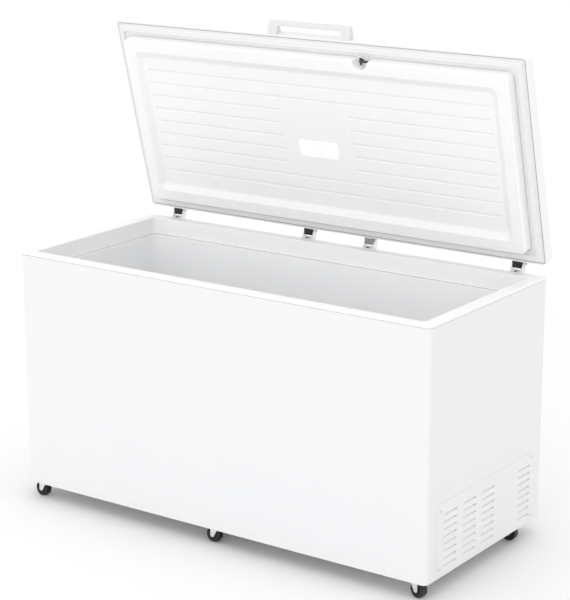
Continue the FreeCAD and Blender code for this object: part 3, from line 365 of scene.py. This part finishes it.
def fix_normals(mesh):
    work = bmesh.new()
    work.from_mesh(mesh)
    bmesh.ops.remove_doubles(work, verts=work.verts, dist=1e-6)
    bmesh.ops.recalc_face_normals(work, faces=work.faces)
    work.to_mesh(mesh)
    work.free()
    return mesh


def sharpen_rims(mesh):
    """Marks open edges sharp, so that a sheet's cut edge doesn't round its face's shading."""
    work = bmesh.new()
    work.from_mesh(mesh)
    for edge in work.edges:
        if edge.is_boundary:
            edge.smooth = False
    work.to_mesh(mesh)
    work.free()


def turned_ring(reach, height, steps):
    """Points around Z; reach is a radius, or a function that gives one for each angle."""
    ring = []
    for step in range(steps):
        angle = 2 * math.pi * step / steps
        radius = reach(angle) if callable(reach) else reach
        ring.append((radius * math.cos(angle), radius * math.sin(angle), height))
    return ring


def lathe(profile, steps=48, placing=None):
    """Turns a (radius, height) profile about Z and closes its ends."""
    rings = [turned_ring(radius, height, steps) for radius, height in profile]
    return fix_normals(rings_to_mesh(rings, placing=placing, cap_ends=True))


def arc(centre, radius, start, end, steps):
    """Points (x, y) along an arc, from start to end degrees."""
    points = []
    for step in range(steps + 1):
        angle = math.radians(start + (end - start) * step / steps)
        points.append((centre[0] + radius * math.cos(angle), centre[1] + radius * math.sin(angle)))
    return points


def rounded_ring(low, high, inset, radii, z, corner_steps=10):
    """Points around a rectangle at height z, moved in by inset; radii are for rear and front corners."""
    rear, front = radii
    x0, y0, x1, y1 = low[0] + inset, low[1] + inset, high[0] - inset, high[1] - inset
    corners = ((x1 - rear, y1 - rear, rear, 0), (x0 + rear, y1 - rear, rear, 90),
               (x0 + front, y0 + front, front, 180), (x1 - front, y0 + front, front, 270))
    ring = []
    for x, y, radius, start in corners:
        ring += [(px, py, z) for px, py in arc((x, y), radius, start, start + 90, corner_steps)]
    return ring


def square_to_round(x, y):
    """Maps a square corner, with x and y from 0 to 1, onto a quarter circle."""
    return x * math.sqrt(1 - y ** 2 / 2), y * math.sqrt(1 - x ** 2 / 2)


def box_faces(start=0):
    """Faces of a box whose eight points go round its lower side and then round its upper side."""
    faces = ((3, 2, 1, 0), (4, 5, 6, 7), (0, 1, 5, 4), (1, 2, 6, 5), (2, 3, 7, 6), (3, 0, 4, 7))
    return [tuple(start + index for index in face) for face in faces]


def soften(piece, width, segments=2, angle=40.0):
    """Rounds a hard-edged piece's edges."""
    bevel = piece.modifiers.new("soft_edges", "BEVEL")
    bevel.width = width
    bevel.segments = segments
    bevel.limit_method = "ANGLE"
    bevel.angle_limit = math.radians(angle)
    bevel.use_clamp_overlap = True
    bevel.harden_normals = False
    return piece


def thicken(piece, thickness, offset):
    """Gives a single sheet its thickness."""
    solid = piece.modifiers.new("sheet", "SOLIDIFY")
    solid.thickness = thickness
    solid.offset = offset
    solid.use_even_offset = True
    sharpen_rims(piece.data)
    return piece


# Lid

LID_LOW, LID_HIGH = closed_box("lid_skin")
UNDERSIDE = LID_LOW.z
FIRST_RIB = 157 * MM
RIB_PITCH = 46 * MM
RIB_ROWS = [LID_LOW.y + FIRST_RIB + RIB_PITCH * row for row in range(9)]
RIB_REACH = 662 * MM
RIB_HALF_WIDTH = 5 * MM
DEEPEST_RIB = 2.3 * MM


def lid_panel():
    """Inner panel, with each pressed rib drawn in more steeply on the side towards the handle."""
    panel = NODES["lid_liner"].data.copy()
    panel.materials.clear()
    panel.transform(OPENED.inverted())
    field = closed_box("lamp_lens")[0].z + 2 * MM
    # The attribute made here is painted shade: it is highest on each groove's deeper side towards the
    # handle, where the groove's wall is in shadow.
    rib_groove_shade = panel.attributes.new("rib_groove_shade", "FLOAT", "POINT")
    for vertex in panel.vertices:
        point = vertex.co
        depth = point.z - field
        across = min((point.y - row for row in RIB_ROWS), key=abs)
        on_rib = abs(across) < RIB_HALF_WIDTH and abs(point.x) < RIB_REACH
        if on_rib and 0.02 * MM < depth < DEEPEST_RIB:
            rib_groove_shade.data[vertex.index].value = min(1, depth / MM) * max(0, 0.6 - across / (8 * MM))
            point.y -= 0.85 * depth
            point.z += 0.3 * depth
    panel.transform(OPENED)
    piece = make_piece("lid_panel", panel, "lid", "white_plastic", 30, RIB_SHADED_PLASTIC)
    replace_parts(piece, "lid_liner")


def lid_seal():
    """Magnetic gasket: a flat base with raised lips, and a bulb on two pleats."""
    outer_lip = ((9.0, 0.0), (9.0, 2.0), (9.6, 2.9), (10.8, 3.0), (12.2, 2.6))
    outer_pleat = ((13.6, 2.8), (14.2, 3.6), (13.9, 4.4), (13.2, 5.0), (13.3, 5.7), (14.3, 6.3))
    bulb = ((15.0, 7.0), (15.0, 9.2), (15.5, 10.1), (16.6, 10.5), (19.5, 10.5), (21.0, 10.1), (23.0, 10.0),
            (25.0, 10.1), (26.5, 10.5), (29.4, 10.5), (30.5, 10.1), (31.0, 9.2), (31.0, 7.0))
    inner_pleat = ((31.7, 6.3), (32.7, 5.7), (32.8, 5.0), (32.1, 4.4), (31.8, 3.6), (32.4, 2.8))
    inner_lip = ((34.0, 2.6), (38.5, 2.6), (40.4, 2.7), (41.2, 3.4), (42.4, 3.7), (43.5, 3.2), (44.0, 2.2),
                 (44.0, 0.0))
    rings = []
    for inset, drop in outer_lip + outer_pleat + bulb + inner_pleat + inner_lip:
        radius = (6 + (inset - 9) * 12 / 35) * MM
        z = UNDERSIDE - drop * MM
        rings.append(rounded_ring(LID_LOW, LID_HIGH, inset * MM, (radius, radius), z))
    mesh = fix_normals(rings_to_mesh(rings, placing=OPENED, join_ends=True))
    piece = make_piece("lid_seal", mesh, "lid", "grey_gasket", 50)
    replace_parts(piece, "lid_gasket")


def lid_edge_strip():
    """Strip covering the groove between the lid's skin and its inner panel, grey as painted shade for the
    groove's shadow line.
    """
    profile = ((4.1, 0.2), (4.1, 1.2), (5.2, 1.7), (6.8, 1.7), (7.9, 1.2), (7.9, 0.2))
    rings = []
    for inset, depth in profile:
        radius = (10 - (inset - 4.1) * 1.05) * MM
        z = UNDERSIDE + (2 - depth) * MM
        rings.append(rounded_ring(LID_LOW, LID_HIGH, inset * MM, (radius, radius), z))
    mesh = fix_normals(rings_to_mesh(rings, placing=OPENED, join_ends=True))
    make_piece("lid_edge_strip", mesh, "lid", "grey_gasket", 50, EDGE_SHADE_GREY)


def lamp_cover():
    """Lamp cover with fine prism ribs inside a smooth rim."""
    low, high = closed_box("lamp_lens")
    height, rim, rib_pitch, rib_depth = 2 * MM, 6 * MM, 4 * MM, 0.35 * MM
    base_z = low.z + height
    middle = (low + high) / 2
    half_x, half_y = (high.x - low.x) / 2, (high.y - low.y) / 2
    corner = 13 * MM
    columns, rows = 140, 24
    rings = []
    for row in range(rows + 1):
        v = -1 + 2 * row / rows
        ring = []
        for column in range(columns + 1):
            u = -1 + 2 * column / columns
            x, y = u * half_x, v * half_y
            over_x, over_y = (abs(x) - half_x + corner) / corner, (abs(y) - half_y + corner) / corner
            if over_x > 0 and over_y > 0:
                over_x, over_y = square_to_round(over_x, over_y)
                x = math.copysign(half_x - corner + over_x * corner, x)
                y = math.copysign(half_y - corner + over_y * corner, y)
            edge = lamp_edge_distance(x, y, half_x, half_y, corner)
            drop = height * math.sqrt(max(0.0, 1 - max(0.0, 1 - edge / height) ** 2))
            if edge > rim:
                drop -= rib_depth * (0.5 + 0.5 * math.cos(2 * math.pi * x / rib_pitch))
            ring.append((middle.x + x, middle.y + y, base_z - drop))
        rings.append(ring)
    mesh = fix_normals(rings_to_mesh(rings, close_rings=False, placing=OPENED))
    piece = make_piece("lamp_cover", mesh, "lid", "clear_lens", 60)
    thicken(piece, 1.2 * MM, -1)
    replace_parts(piece, "lamp_lens")


def lamp_edge_distance(x, y, half_x, half_y, corner):
    """How far a point is inside a rounded rectangle's edge."""
    out_x, out_y = abs(x) - (half_x - corner), abs(y) - (half_y - corner)
    outside = math.hypot(max(out_x, 0), max(out_y, 0)) + min(max(out_x, out_y), 0)
    return corner - outside


# Cabinet

COLLAR_SIDE = 40 * MM
COLLAR_FRONT = 34 * MM
COLLAR_REAR = 38 * MM


def seam_strip(name, low, high, radii, inset, z0, z1):
    """Thin black strip in the joint between two parts, as painted shade for the joint's shadow line; a
    negative inset is outwards from an opening.
    """
    width = math.copysign(1.8 * MM, inset)
    rings = []
    for side, z in ((inset, z0), (inset, z1), (inset + width, z1), (inset + width, z0)):
        rings.append(rounded_ring(low, high, side, tuple(radius - side for radius in radii), z))
    mesh = fix_normals(rings_to_mesh(rings, join_ends=True))
    make_piece(name, mesh, "cabinet", "black_plastic", 50)


def collar_seals():
    """Black strips as painted shade in the joints under the collar's outer edge and under its skirt, where
    it meets the tub's ledge.
    """
    shell_top, ledge_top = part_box("outer_shell")[1][2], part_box("inner_liner")[1][2]
    collar_low, collar_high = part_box("top_collar")
    recess, gap = 0.9 * MM, 0.05 * MM
    seam_strip("collar_outer_joint_shade", collar_low, collar_high, (3.2 * MM, 18 * MM), recess, shell_top + gap,
               shell_top + 1 * MM - gap)
    mouth_low = (collar_low.x + COLLAR_SIDE, collar_low.y + COLLAR_FRONT)
    mouth_high = (collar_high.x - COLLAR_SIDE, collar_high.y - COLLAR_REAR)
    seam_strip("collar_inner_joint_shade", mouth_low, mouth_high, (14 * MM, 14 * MM), -recess, ledge_top + gap,
               collar_low.z - gap)


# Castors

ROLL_JOINTS = [joint for joint in frame["joints"] if joint["name"].startswith("roll_")]


def axle_frame(joint):
    """Turns +Z onto a wheel's axle and moves the origin to its centre."""
    axis = Vector(joint["axis"])
    return Matrix.Translation(Vector(joint["pos_m"])) @ axis.to_track_quat("Z", "Y").to_matrix().to_4x4()


def wheel_mesh(placing):
    """Wheel with a crowned tread, a dished web and a raised hub."""
    half = [(3.05, 12.5), (5.6, 12.5), (6.6, 12.2), (7.1, 11.2), (7.4, 9.6), (8.2, 8.9)]
    half += [(15.6, 8.9), (16.6, 9.4), (17.1, 10.9), (17.9, 11.8), (19.0, 12.0)]
    half += arc((21.6, 8.6), 3.4, 90, 20, 8)
    half += [(24.95, 6.0), (25.0, 2.5), (25.0, 0.4)]
    outline = half + [(radius, -height) for radius, height in reversed(half)]
    rings = [turned_ring(radius * MM, height * MM, 64) for radius, height in outline]
    return fix_normals(rings_to_mesh(rings, placing=placing, join_ends=True))


def wheel_ribs(placing):
    """Six thin ribs across the web on both sides."""
    points, faces = [], []
    for side in (-1, 1):
        for spoke in range(6):
            turn = Matrix.Rotation(math.radians(60 * spoke), 4, "Z")
            faces += box_faces(len(points))
            for z, hub_half, rim_half in ((8.0, 0.9, 0.7), (11.0, 0.65, 0.45)):
                corners = ((7.0, -hub_half), (17.0, -rim_half), (17.0, rim_half), (7.0, hub_half))
                for radius, width in corners:
                    points.append(turn @ Vector((radius * MM, width * MM, side * z * MM)))
    return fix_normals(mesh_from(points, faces, placing))


def axle_bolt(placing):
    """Riveted axle with a domed head and a hexagonal nut."""
    shank, nut_radius = 3.0, 5.0
    dome = [(0.0, 16.8), (1.8, 16.7), (3.4, 16.3), (4.5, 15.8), (5.0, 15.2), (5.0, 15.0)]
    dome += [(shank, 15.0), (shank, 0.0)]
    mesh = lathe([(radius * MM, height * MM) for radius, height in dome], 32, placing)

    def hexagon(angle):
        return nut_radius * MM * math.cos(math.pi / 6) / math.cos(angle % (math.pi / 3) - math.pi / 6)

    rings = []
    nut_profile = ((shank, 0.0), (shank, -15.0), (nut_radius, -15.0), (nut_radius, -16.3))
    for radius, height in nut_profile + ((4.5, -16.8), (2.4, -16.8), (2.2, -16.4)):
        reach = hexagon if radius == nut_radius else radius * MM
        rings.append(turned_ring(reach, height * MM, 30))
    nut = fix_normals(rings_to_mesh(rings, placing=placing, cap_ends=True))
    work = bmesh.new()
    work.from_mesh(mesh)
    work.from_mesh(nut)
    work.to_mesh(mesh)
    work.free()
    return mesh


def castors():
    for number, joint in enumerate(ROLL_JOINTS, 1):
        placing = axle_frame(joint)
        place = joint["name"].removeprefix("roll_")
        wheel = make_piece("wheel_" + place, wheel_mesh(placing), joint["child"], "wheel_black", 45)
        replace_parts(wheel, f"castor_wheel_{number}")
        make_piece("wheel_ribs_" + place, wheel_ribs(placing), joint["child"], "wheel_black", 30)
        bolt = make_piece("axle_bolt_" + place, axle_bolt(placing), joint["parent"], "zinc", 35)
        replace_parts(bolt, f"castor_axle_{number}")


# Hinges

LEAF_THICKNESS = 2.5 * MM


def hinge_middles():
    """The middle of each hinge pin along X: the pins are one node, with wide gaps between them."""
    along = sorted(vertex.co.x for vertex in NODES["hinge_pins"].data.vertices)
    starts = [along[0]] + [x for before, x in zip(along, along[1:]) if x - before > 100 * MM]
    ends = [before for before, x in zip(along, along[1:]) if x - before > 100 * MM] + [along[-1]]
    return [(start + end) / 2 for start, end in zip(starts, ends)]


def hinge_details():
    """Softens the pressed leaves and covers, and adds the dark screw on each cabinet leaf's foot."""
    for node in ("hinge_cabinet_leaves", "hinge_lid_leaves", "hinge_spring_covers", "hinge_plain_cover"):
        soften(NODES[node], 0.35 * MM)
    collar_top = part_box("top_collar")[1].z
    profile = ((0.0, 0.0), (4.0, 0.0), (4.0, 1.1), (3.6, 1.8), (2.6, 2.2), (1.5, 2.3))
    profile += ((1.3, 1.4), (0.0, 1.4))
    foot_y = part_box("back_panel")[1].y - 5 * MM
    for index, x in enumerate(hinge_middles(), 1):
        place = Matrix.Translation((x, foot_y, collar_top + LEAF_THICKNESS))
        mesh = lathe([(radius * MM, height * MM) for radius, height in profile], 24, place)
        make_piece(f"hinge_foot_screw_{index}", mesh, "cabinet", "dark_steel", 35)


# Thermostat

KNOB_LOW, KNOB_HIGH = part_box("thermostat_knob")
BACK_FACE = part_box("back_panel")[1].y
KNOB_CENTRE = Vector(((KNOB_LOW.x + KNOB_HIGH.x) / 2, BACK_FACE, (KNOB_LOW.z + KNOB_HIGH.z) / 2))
TO_REAR = Matrix(((-1, 0, 0, 0), (0, 0, 1, 0), (0, 1, 0, 0), (0, 0, 0, 1)))
FACING_REAR = Matrix.Translation(KNOB_CENTRE) @ TO_REAR
DIAL_START = 150
DIAL_STEP = 50


def dial_knob():
    """Fluted knob with a white pointer."""
    profile = ((2.9, -14.0), (2.9, 1.5), (16.4, 1.5), (17.0, 2.1), (17.0, 4.2), (16.5, 4.7), (15.9, 5.2),
               (15.2, 14.6), (14.6, 15.9), (13.2, 16.5), (12.0, 16.3), (11.2, 15.9), (0.4, 15.8))
    rings = []
    for radius, height in profile:
        fluted = 5 < height < 16.4 and radius > 13

        def reach(angle, radius=radius, fluted=fluted):
            flute = max(0.0, math.cos(12 * angle)) ** 2 if fluted else 0.0
            return (radius - 1.1 * flute) * MM

        rings.append(turned_ring(reach, height * MM, 144))
    knob = fix_normals(rings_to_mesh(rings, placing=FACING_REAR, cap_ends=True))
    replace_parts(make_piece("knob", knob, "thermostat_knob", "black_plastic", 35), "thermostat_knob")
    bar = []
    for z, trim in ((15.85, 0), (16.4, 0.2)):
        half, inner, outer = 0.9 - trim, 3 + trim, 14 - trim
        for x, y in ((-half, inner), (half, inner), (half, outer), (-half, outer)):
            bar.append((x * MM, y * MM, z * MM))
    pointer = mesh_from(bar, box_faces(), FACING_REAR)
    make_piece("knob_pointer", pointer, "thermostat_knob", "white_plastic", 30)


def dial_plate():
    """Ring behind the knob, with thirteen ticks."""
    plate = ((17.5, 0.1), (25.8, 0.1), (26.4, 0.3), (26.4, 0.5), (26.0, 0.7), (17.9, 0.7), (17.5, 0.5))
    rings = [turned_ring(radius * MM, height * MM, 120) for radius, height in plate]
    mesh = fix_normals(rings_to_mesh(rings, placing=FACING_REAR, join_ends=True))
    make_piece("dial_plate", mesh, "cabinet", "white_plastic", 35)
    points, faces = [], []
    for tick in range(13):
        turn = Matrix.Rotation(math.radians(DIAL_START - DIAL_STEP * tick / 2), 4, "Z")
        inner = 18.6 if tick % 2 == 0 else 19.6
        faces += box_faces(len(points))
        for z in (0.7, 0.82):
            for x, y in ((-0.3, inner), (0.3, inner), (0.3, 20.8), (-0.3, 20.8)):
                points.append(turn @ Vector((x * MM, y * MM, z * MM)))
    make_piece("dial_ticks", mesh_from(points, faces, FACING_REAR), "cabinet", "black_plastic", 30)


def dial_figures():
    """The figures 0 to 6 around the plate."""
    away = 23.3 * MM
    for number in range(7):
        figure = bpy.data.curves.new(f"figure_{number}", "FONT")
        figure.body = str(number)
        figure.size = 4.6 * MM
        figure.extrude = 0.06 * MM
        figure.align_x = "CENTER"
        figure.align_y = "CENTER"
        figure.materials.append(MATERIALS["black_plastic"])
        angle = math.radians(90 + DIAL_START - DIAL_STEP * number)
        piece = bpy.data.objects.new(f"dial_figure_{number}", figure)
        bpy.context.scene.collection.objects.link(piece)
        place = Matrix.Translation((away * math.cos(angle), away * math.sin(angle), 0.78 * MM))
        piece.matrix_world = FACING_REAR @ place
        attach(piece, "cabinet")


# Ventilation panel

VENT_LOW, VENT_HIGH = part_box("side_vent_panel")
SHELL_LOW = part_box("outer_shell")[0]
CORNER = 8 * MM
LOUVRE_LENGTH = 80 * MM
LOUVRE_HEIGHT = 10 * MM
LOUVRE_DEPTH = 4.5 * MM
LOUVRE_ENDS = [SHELL_LOW.y + distance * MM for distance in (173, 286, 399, 625)]
BLANK_END = SHELL_LOW.y + 512 * MM
LOUVRE_TOPS = [(86 + 23.1 * row) * MM for row in range(8)]


def smooth_step(value):
    value = min(1.0, max(0.0, value))
    return value * value * (3 - 2 * value)


def vent_panel():
    """Sheet panel with louvres pressed inwards, each open along its upper edge."""
    face_x = VENT_HIGH.x
    front_taper, rear_taper, mouth = 12 * MM, 1.5 * MM, 8 * MM
    columns = sorted(LOUVRE_ENDS)
    y_lines = corner_lines(VENT_LOW.y, VENT_HIGH.y)
    for end in columns + [BLANK_END]:
        start = end - LOUVRE_LENGTH
        y_lines += [start + front_taper * part / 5 for part in range(6)]
        flat = LOUVRE_LENGTH - front_taper - mouth
        y_lines += [start + front_taper + flat * part / 6 for part in range(1, 6)]
        y_lines += [end - rear_taper - (mouth - rear_taper) * part / 5 for part in range(6)]
        y_lines += [end - rear_taper * part / 3 for part in range(3)]
    z_lines = corner_lines(VENT_LOW.z, VENT_HIGH.z)
    for top in LOUVRE_TOPS:
        z_lines += [top - LOUVRE_HEIGHT * part / 6 for part in range(7)]
    y_lines, z_lines = distinct(y_lines), distinct(z_lines)

    def louvre_at(y, z):
        for end in columns:
            for top in LOUVRE_TOPS:
                if end - LOUVRE_LENGTH < y < end and top - LOUVRE_HEIGHT < z < top:
                    return end, top
        return None

    def taper(y, end, rear):
        return smooth_step((y - end + LOUVRE_LENGTH) / front_taper) * smooth_step((end - y) / rear)

    def pressed(y, z, end, top):
        """How far in a louvre's blade is at a point, and how far its lip is below the slot's edge."""
        across = taper(y, end, rear_taper)
        rise = (z - top + LOUVRE_HEIGHT) / LOUVRE_HEIGHT
        wide = smooth_step((y - end + mouth) / (3 * MM))
        return LOUVRE_DEPTH * across * smooth_step(rise * 0.5) * 2, (1.6 + 2.6 * wide) * MM * across * rise

    def embossed(y, z):
        """The blank column's shallow ribs."""
        for top in LOUVRE_TOPS:
            middle = top - LOUVRE_HEIGHT / 2
            if abs(z - middle) < LOUVRE_HEIGHT / 2:
                wave = 0.5 + 0.5 * math.cos(2 * math.pi * (z - middle) / LOUVRE_HEIGHT)
                return 0.5 * MM * taper(y, BLANK_END, front_taper) * wave
        return 0.0

    points, faces, index = [], [], {}

    def vertex(y, z, owner):
        depth, lowered = embossed(y, z), 0.0
        key = (round(y, 6), round(z, 6), None)
        if owner is not None:
            depth, lowered = pressed(y, z, *owner)
            if depth > 1e-6 and z > owner[1] - LOUVRE_HEIGHT + 1e-6:
                key = (round(y, 6), round(z, 6), owner)
        if key not in index:
            index[key] = len(points)
            point_y, point_z = round_corner(y, z)
            points.append((face_x - depth, point_y, point_z - lowered))
        return index[key]

    for y0, y1 in zip(y_lines, y_lines[1:]):
        for z0, z1 in zip(z_lines, z_lines[1:]):
            owner = louvre_at((y0 + y1) / 2, (z0 + z1) / 2)
            faces.append([vertex(y, z, owner) for y, z in ((y0, z0), (y1, z0), (y1, z1), (y0, z1))])
    piece = make_piece("vent_panel", fix_normals(mesh_from(points, faces)), "cabinet", "white_sheet", 60)
    thicken(piece, 0.8 * MM, -1)
    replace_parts(piece, "side_vent_panel")


def corner_lines(low, high):
    """Grid lines across the two corners at the ends of a side."""
    steps = [CORNER * part / 4 for part in range(5)]
    return [low + step for step in steps] + [high - step for step in steps]


def distinct(values):
    """Values in order, without those that nearly repeat the one before."""
    kept = []
    for value in sorted(values):
        if not kept or value - kept[-1] > 0.3 * MM:
            kept.append(value)
    return kept


def round_corner(y, z):
    """Pulls the vent panel's square corners in to a radius."""
    over_y = max(VENT_LOW.y + CORNER - y, y - VENT_HIGH.y + CORNER) / CORNER
    over_z = max(VENT_LOW.z + CORNER - z, z - VENT_HIGH.z + CORNER) / CORNER
    if over_y <= 0 or over_z <= 0:
        return y, z
    new_y, new_z = square_to_round(over_y, over_z)
    sign_y = -1 if y < (VENT_LOW.y + VENT_HIGH.y) / 2 else 1
    sign_z = -1 if z < (VENT_LOW.z + VENT_HIGH.z) / 2 else 1
    return y + sign_y * (new_y - over_y) * CORNER, z + sign_z * (new_z - over_z) * CORNER


# Stage


def stage_floor():
    """Plain pale floor, wide enough to fill every view."""
    size = 60.0
    points = [(-size, -size, 0), (size, -size, 0), (size, size, 0), (-size, size, 0)]
    mesh = mesh_from(points, [(0, 1, 2, 3)])
    material, tree, shader = new_shader("pale_floor", (0.92, 0.92, 0.92), 0.7)
    paint(tree, shader, noise(tree, 0.8, 3), (0.92, 0.92, 0.92), (0.90, 0.90, 0.90))
    mesh.materials.append(material)
    floor = bpy.data.objects.new("floor", mesh)
    bpy.context.scene.collection.objects.link(floor)


def soft_sun(name, azimuth, elevation, strength, angle):
    """Wide, soft light from a direction: azimuth 0 is the front, 90 the right side."""
    data = bpy.data.lights.new(name, "SUN")
    data.energy = strength
    data.angle = math.radians(angle)
    light = bpy.data.objects.new(name, data)
    bpy.context.scene.collection.objects.link(light)
    a, e = math.radians(azimuth), math.radians(elevation)
    towards = Vector((math.sin(a) * math.cos(e), -math.cos(a) * math.cos(e), math.sin(e)))
    light.rotation_mode = "QUATERNION"
    light.rotation_quaternion = towards.to_track_quat("Z", "Y")


def studio_light():
    world = bpy.data.worlds.new("studio")
    bpy.context.scene.world = world
    world.use_nodes = True
    background = world.node_tree.nodes["Background"]
    background.inputs["Color"].default_value = (1, 1, 1, 1)
    background.inputs["Strength"].default_value = 1.0
    soft_sun("front_light", 12, 6, 0.68, 50)
    soft_sun("top_light", 0, 80, 0.3, 60)
    bpy.context.scene.view_settings.view_transform = "Standard"


def camera():
    """A long lens, from the front and right, a little above the lid."""
    azimuth, elevation = math.radians(35.14), math.radians(15.065)
    data = bpy.data.cameras.new("camera")
    data.sensor_width = 36.0
    data.lens = 118.1
    data.clip_end = 200.0
    viewer = bpy.data.objects.new("camera", data)
    bpy.context.scene.collection.objects.link(viewer)
    viewer.location = (3.5198, -4.9727, 2.3602)
    backwards = Vector((math.sin(azimuth) * math.cos(elevation), -math.cos(azimuth) * math.cos(elevation),
                        math.sin(elevation)))
    viewer.rotation_mode = "QUATERNION"
    viewer.rotation_quaternion = backwards.to_track_quat("Z", "Y")
    bpy.context.scene.camera = viewer


collar_seals()
lid_panel()
lid_seal()
lid_edge_strip()
lamp_cover()
castors()
hinge_details()
dial_knob()
dial_plate()
dial_figures()
vent_panel()
camera()
studio_light()
stage_floor()
